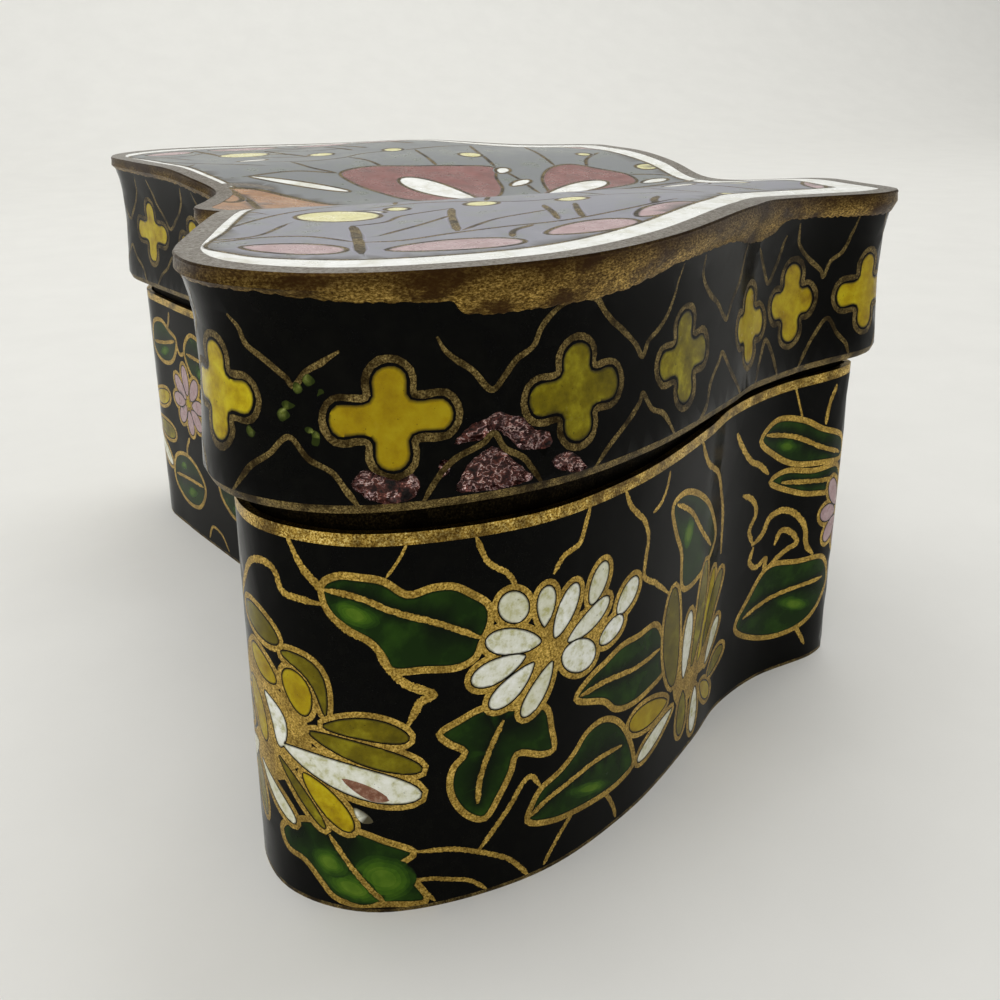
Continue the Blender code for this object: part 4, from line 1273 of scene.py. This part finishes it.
def make_base_body():
    """Base: drawn wall, gilt mouth, collar's rebate, lining, floor and underside."""
    mesh = sheet_mesh(base_wall_drawing(), on_base_wall)
    join_lap(mesh)
    foot, mouth = edge_loops(mesh)
    under = extend_loop(mesh, foot, ((FOOT_INSET + EDGE_ROUND, level(0.0)),), OLD_WIRE)
    cap(mesh, under, LINING)
    rebate = extend_loop(mesh, mouth, (
        (BASE_REBATE_INSET, base_mouth_height),
        (BASE_REBATE_INSET, level(LEDGE_HEIGHT)),
    ), GILT)
    inside = extend_loop(mesh, rebate, (
        (BASE_INNER_INSET, level(LEDGE_HEIGHT)),
        (BASE_INNER_INSET, level(FLOOR_THICKNESS)),
    ), LINING)
    cap(mesh, inside, LINING)
    finish_piece("base_body", mesh, "base_shell", slot="base_enamel")


def make_lid_wall():
    """Lid's wall, a closed ring with a gilt mouth."""
    drawing = lid_wall_drawing()
    mesh = sheet_mesh(drawing, on_lid_wall)
    join_lap(mesh)
    chip_away(mesh, 3)
    mouth, seat = edge_loops(mesh)
    # The lid's inside at its mouth is painted nearly black: painted shade in the gap.
    inner_mouth = extend_loop(mesh, mouth, ((LID_INNER_INSET, lid_mouth_height),), SHADED)
    inner_top = extend_loop(mesh, inner_mouth, ((LID_INNER_INSET, above(top_height, -TOP_THICKNESS)),),
                            LINING)
    inner_seat = extend_loop(mesh, seat, ((LID_INNER_INSET, above(top_height, -WALL_TOP_DROP)),), GILT)
    bmesh.ops.bridge_loops(mesh, edges=inner_top + inner_seat)
    finish_piece("lid_wall", mesh, "lid_shell", slot="lid_enamel")


def make_lid_top():
    """Lid's top plate, drawn above and lined below."""
    mesh = sheet_mesh(lid_top_drawing(), on_lid_top)
    edges = [edge for edge in mesh.edges if len(edge.link_faces) == 1]
    top_faces = list(mesh.faces)
    made = bmesh.ops.extrude_edge_only(mesh, edges=edges)["geom"]
    for vert in (item for item in made if isinstance(item, bmesh.types.BMVert)):
        vert.co.z -= TOP_THICKNESS * MM
    copies = bmesh.ops.duplicate(mesh, geom=top_faces)["geom"]
    for face in (item for item in copies if isinstance(item, bmesh.types.BMFace)):
        face.material_index = LINING
    for vert in (item for item in copies if isinstance(item, bmesh.types.BMVert)):
        vert.co.z -= TOP_THICKNESS * MM
    bmesh.ops.remove_doubles(mesh, verts=mesh.verts, dist=1e-7)
    finish_piece("lid_top", mesh, "lid_shell", slot="lid_enamel")


# Lower edge of the gilt band along the near wing: distance along the lip, drop under the rim
BAND_ALONG = (0, 20, 38, 44, 50, 54.8, 55.3, 57, 60, 64.8, 67, 69.5, 71.5, 74, 80, 84, 87, 89, 90.5, 97,
              101, 115, 132.1)
BAND_DROPS = (1.7, 1.5, 1.3, 1.2, 1.7, 1.9, 2.6, 2.9, 2.8, 2.8, 2.7, 2.4, 2.1, 2.1, 2.2, 2.9, 3.2, 2.7, 1.8,
              1.8, 1.9, 1.9, 1.7)
BAND_THICKNESS = 0.14
BAND_POINTS = 900
BAND_WANDER = 0.07         # how far the band's lower edge wanders
BAND_FLARE_DROP = 0.9      # the band leans out above this drop
BAND_OXIDE_AND_SHADE_REACH = 2.2     # the metal is lighter down to this drop, darker towards the lip: partly its oxide, partly painted shade
BEVEL_STEP = 6             # the section's step that is bare metal, seen from above


def make_rim_band():
    """Gilt band soldered round the lid's upper edge, its lower edge uneven."""
    along = np.arange(BAND_POINTS) / BAND_POINTS * LAP
    near = np.minimum(along, LAP - along)
    hand = random.Random(8)
    ragged = np.array([hand.uniform(-BAND_WANDER, BAND_WANDER) for _ in along])
    drop = np.interp(near, BAND_ALONG, BAND_DROPS) + ragged
    plate_edge = BEVEL_WIDTH + 0.02
    flare = np.clip(BAND_FLARE_DROP / np.maximum(drop, 0.5), 0, 0.8)

    def wall_inset(under):
        return lid_wall_inset(LID_WALL_HEIGHT + WALL_TOP_DROP - under)

    # From the lower edge up over the rim and down the back: inset from the lip, and drop under the rim
    section = (
        (wall_inset(drop) + 0.03, drop),
        (wall_inset(drop) - BAND_THICKNESS, drop - 0.22),
        (wall_inset(drop * flare) - BAND_THICKNESS - 0.1, drop * flare),
        (0.17, 0.34),
        (0.14, 0.18),
        (0.24, 0.04),
        (plate_edge, 0.03),
        (plate_edge, 0.45),
        (0.35, 0.47),
        (wall_inset(drop * flare) + 0.03, drop * flare + 0.05),
    )
    mesh = bmesh.new()
    mesh.verts.layers.float.new("along")
    inner_layer = mesh.loops.layers.float.new("inner")
    tone_layer = mesh.loops.layers.float.new("tone")
    first = None
    edges = None
    for step, (inset, under) in enumerate(section):
        plan = plan_place(along, np.clip(inset, 0, 9) + 0 * along)
        heights = top_height(plan[:, 0], plan[:, 1]) - under
        if edges is None:
            verts = [mesh.verts.new(Vector((x, y, z)) * MM) for (x, y), z in zip(plan, heights)]
            edges = [mesh.edges.new((verts[index - 1], verts[index])) for index in range(len(verts))]
            first = edges
            continue
        made = bmesh.ops.extrude_edge_only(mesh, edges=edges)["geom"]
        edges = [item for item in made if isinstance(item, bmesh.types.BMEdge)]
        fresh = [item for item in made if isinstance(item, bmesh.types.BMVert)]
        for face in (item for item in made if isinstance(item, bmesh.types.BMFace)):
            face.material_index = BEVEL if step == BEVEL_STEP else BAND
        place_of = {tuple(vert.co): vert for vert in fresh}
        ordered = [place_of[tuple(vert.co)] for vert in verts]
        for vert, (x, y), z in zip(ordered, plan, heights):
            vert.co = Vector((x, y, z)) * MM
        verts = ordered
    bmesh.ops.bridge_loops(mesh, edges=first + edges)
    # Tone grows with the drop under the rim, so the band darkens towards the lip: partly oxide, partly painted
    # shade.
    for face in mesh.faces:
        for loop in face.loops:
            place = loop.vert.co
            under = float(top_height(place.x / MM, place.y / MM)) - place.z / MM
            loop[inner_layer] = 1.0
            loop[tone_layer] = min(1.0, max(0.0, under / BAND_OXIDE_AND_SHADE_REACH))
    finish_piece("rim_band", mesh, "lid_rim", slot="rim_brass")


def dress_collar():
    """The collar keeps its solid, in gilding painted nearly black: painted shade in the gap under the lid."""
    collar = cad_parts["inner_collar"]
    for index in range(len(collar.material_slots)):
        collar.material_slots[index].material = FINISHES[SHADED]


# Room

def plain_material(name, colour, roughness):
    """A plain matt finish with a faint grain, for the stage."""
    material, nodes, links, shader = new_material(name)
    grain = speckle(nodes, links, 60.0, 6.0, 0.6)
    pale = tuple(min(1.0, channel * 1.03) for channel in colour)
    links.new(ramp(nodes, links, grain, ((0.35, colour), (0.65, pale))), shader.inputs["Base Color"])
    shader.inputs["Roughness"].default_value = roughness
    return material


# Floor in metres: where it starts and bends, its sweep, and the height of the wall behind
FLOOR_START = -1.2
FLOOR_BEND = 0.45
FLOOR_HALF_WIDTH = 1.6
SWEEP_RADIUS = 0.35
SWEEP_STEPS = 12
BACK_HEIGHT = 1.4


def make_stage():
    """A pale floor that sweeps up behind the box."""
    mesh = bmesh.new()
    run = [(FLOOR_START, 0.0), (FLOOR_BEND, 0.0)]
    for step in range(1, SWEEP_STEPS + 1):
        angle = step / SWEEP_STEPS * math.pi / 2
        run.append((FLOOR_BEND + SWEEP_RADIUS * math.sin(angle), SWEEP_RADIUS * (1 - math.cos(angle))))
    run.append((FLOOR_BEND + SWEEP_RADIUS, BACK_HEIGHT))
    verts = [mesh.verts.new((-FLOOR_HALF_WIDTH, y, z)) for y, z in run]
    edges = [mesh.edges.new(pair) for pair in zip(verts, verts[1:])]
    made = bmesh.ops.extrude_edge_only(mesh, edges=edges)["geom"]
    far_side = [item for item in made if isinstance(item, bmesh.types.BMVert)]
    bmesh.ops.translate(mesh, verts=far_side, vec=(2 * FLOOR_HALF_WIDTH, 0, 0))
    bmesh.ops.recalc_face_normals(mesh, faces=mesh.faces)
    data = bpy.data.meshes.new("pale_floor")
    mesh.to_mesh(data)
    mesh.free()
    data.shade_smooth()
    data.materials.append(plain_material("pale_paper", (0.735, 0.73, 0.695), 0.7))
    floor = bpy.data.objects.new("pale_floor", data)
    bpy.context.scene.collection.objects.link(floor)


def add_light(name, place, aim, size, power):
    """A soft square light aimed at a point."""
    light = bpy.data.lights.new(name, "AREA")
    light.size = size
    light.energy = power
    lamp = bpy.data.objects.new(name, light)
    lamp.location = place
    lamp.rotation_euler = (Vector(aim) - Vector(place)).to_track_quat("-Z", "Y").to_euler()
    bpy.context.scene.collection.objects.link(lamp)


def light_room():
    """Soft light from above and behind, a dim room in front."""
    world = bpy.data.worlds.new("room")
    world.use_nodes = True
    background = world.node_tree.nodes["Background"]
    background.inputs["Color"].default_value = (1.0, 0.99, 0.97, 1.0)
    background.inputs["Strength"].default_value = 0.3
    bpy.context.scene.world = world
    bpy.context.scene.view_settings.view_transform = "Standard"
    add_light("overhead", (-0.2, 0.12, 0.82), (-0.02, 0.02, 0), 0.7, 3.3)
    add_light("front_window", (-0.45, -0.75, 0.6), (0, 0, 0.02), 0.6, 3.4)
    add_light("back_wall", (0.4, 0.2, 1.0), (0.4, 0.8, 0.4), 0.6, 4.6)


def add_camera():
    """The photograph's camera."""
    ahead = Vector((
        math.sin(CAMERA_YAW) * math.cos(CAMERA_PITCH),
        math.cos(CAMERA_YAW) * math.cos(CAMERA_PITCH),
        -math.sin(CAMERA_PITCH),
    ))
    side = Vector((math.cos(CAMERA_YAW), -math.sin(CAMERA_YAW), 0.0))
    up = side.cross(ahead)
    right = math.cos(CAMERA_ROLL) * side + math.sin(CAMERA_ROLL) * up
    head = -math.sin(CAMERA_ROLL) * side + math.cos(CAMERA_ROLL) * up
    data = bpy.data.cameras.new("photo_camera")
    data.sensor_width = SENSOR_MM
    data.lens = CAMERA_LENS_PIXELS / FRAME_PIXELS * SENSOR_MM
    data.clip_start = 0.004
    camera = bpy.data.objects.new("photo_camera", data)
    turn = Matrix((right, head, -ahead)).transposed().to_4x4()
    camera.matrix_world = Matrix.Translation(Vector(CAMERA_PLACE) * MM) @ turn
    bpy.context.scene.collection.objects.link(camera)
    bpy.context.scene.camera = camera


add_camera()
make_stage()
light_room()
make_base_body()
make_lid_wall()
make_lid_top()
make_rim_band()
dress_collar()
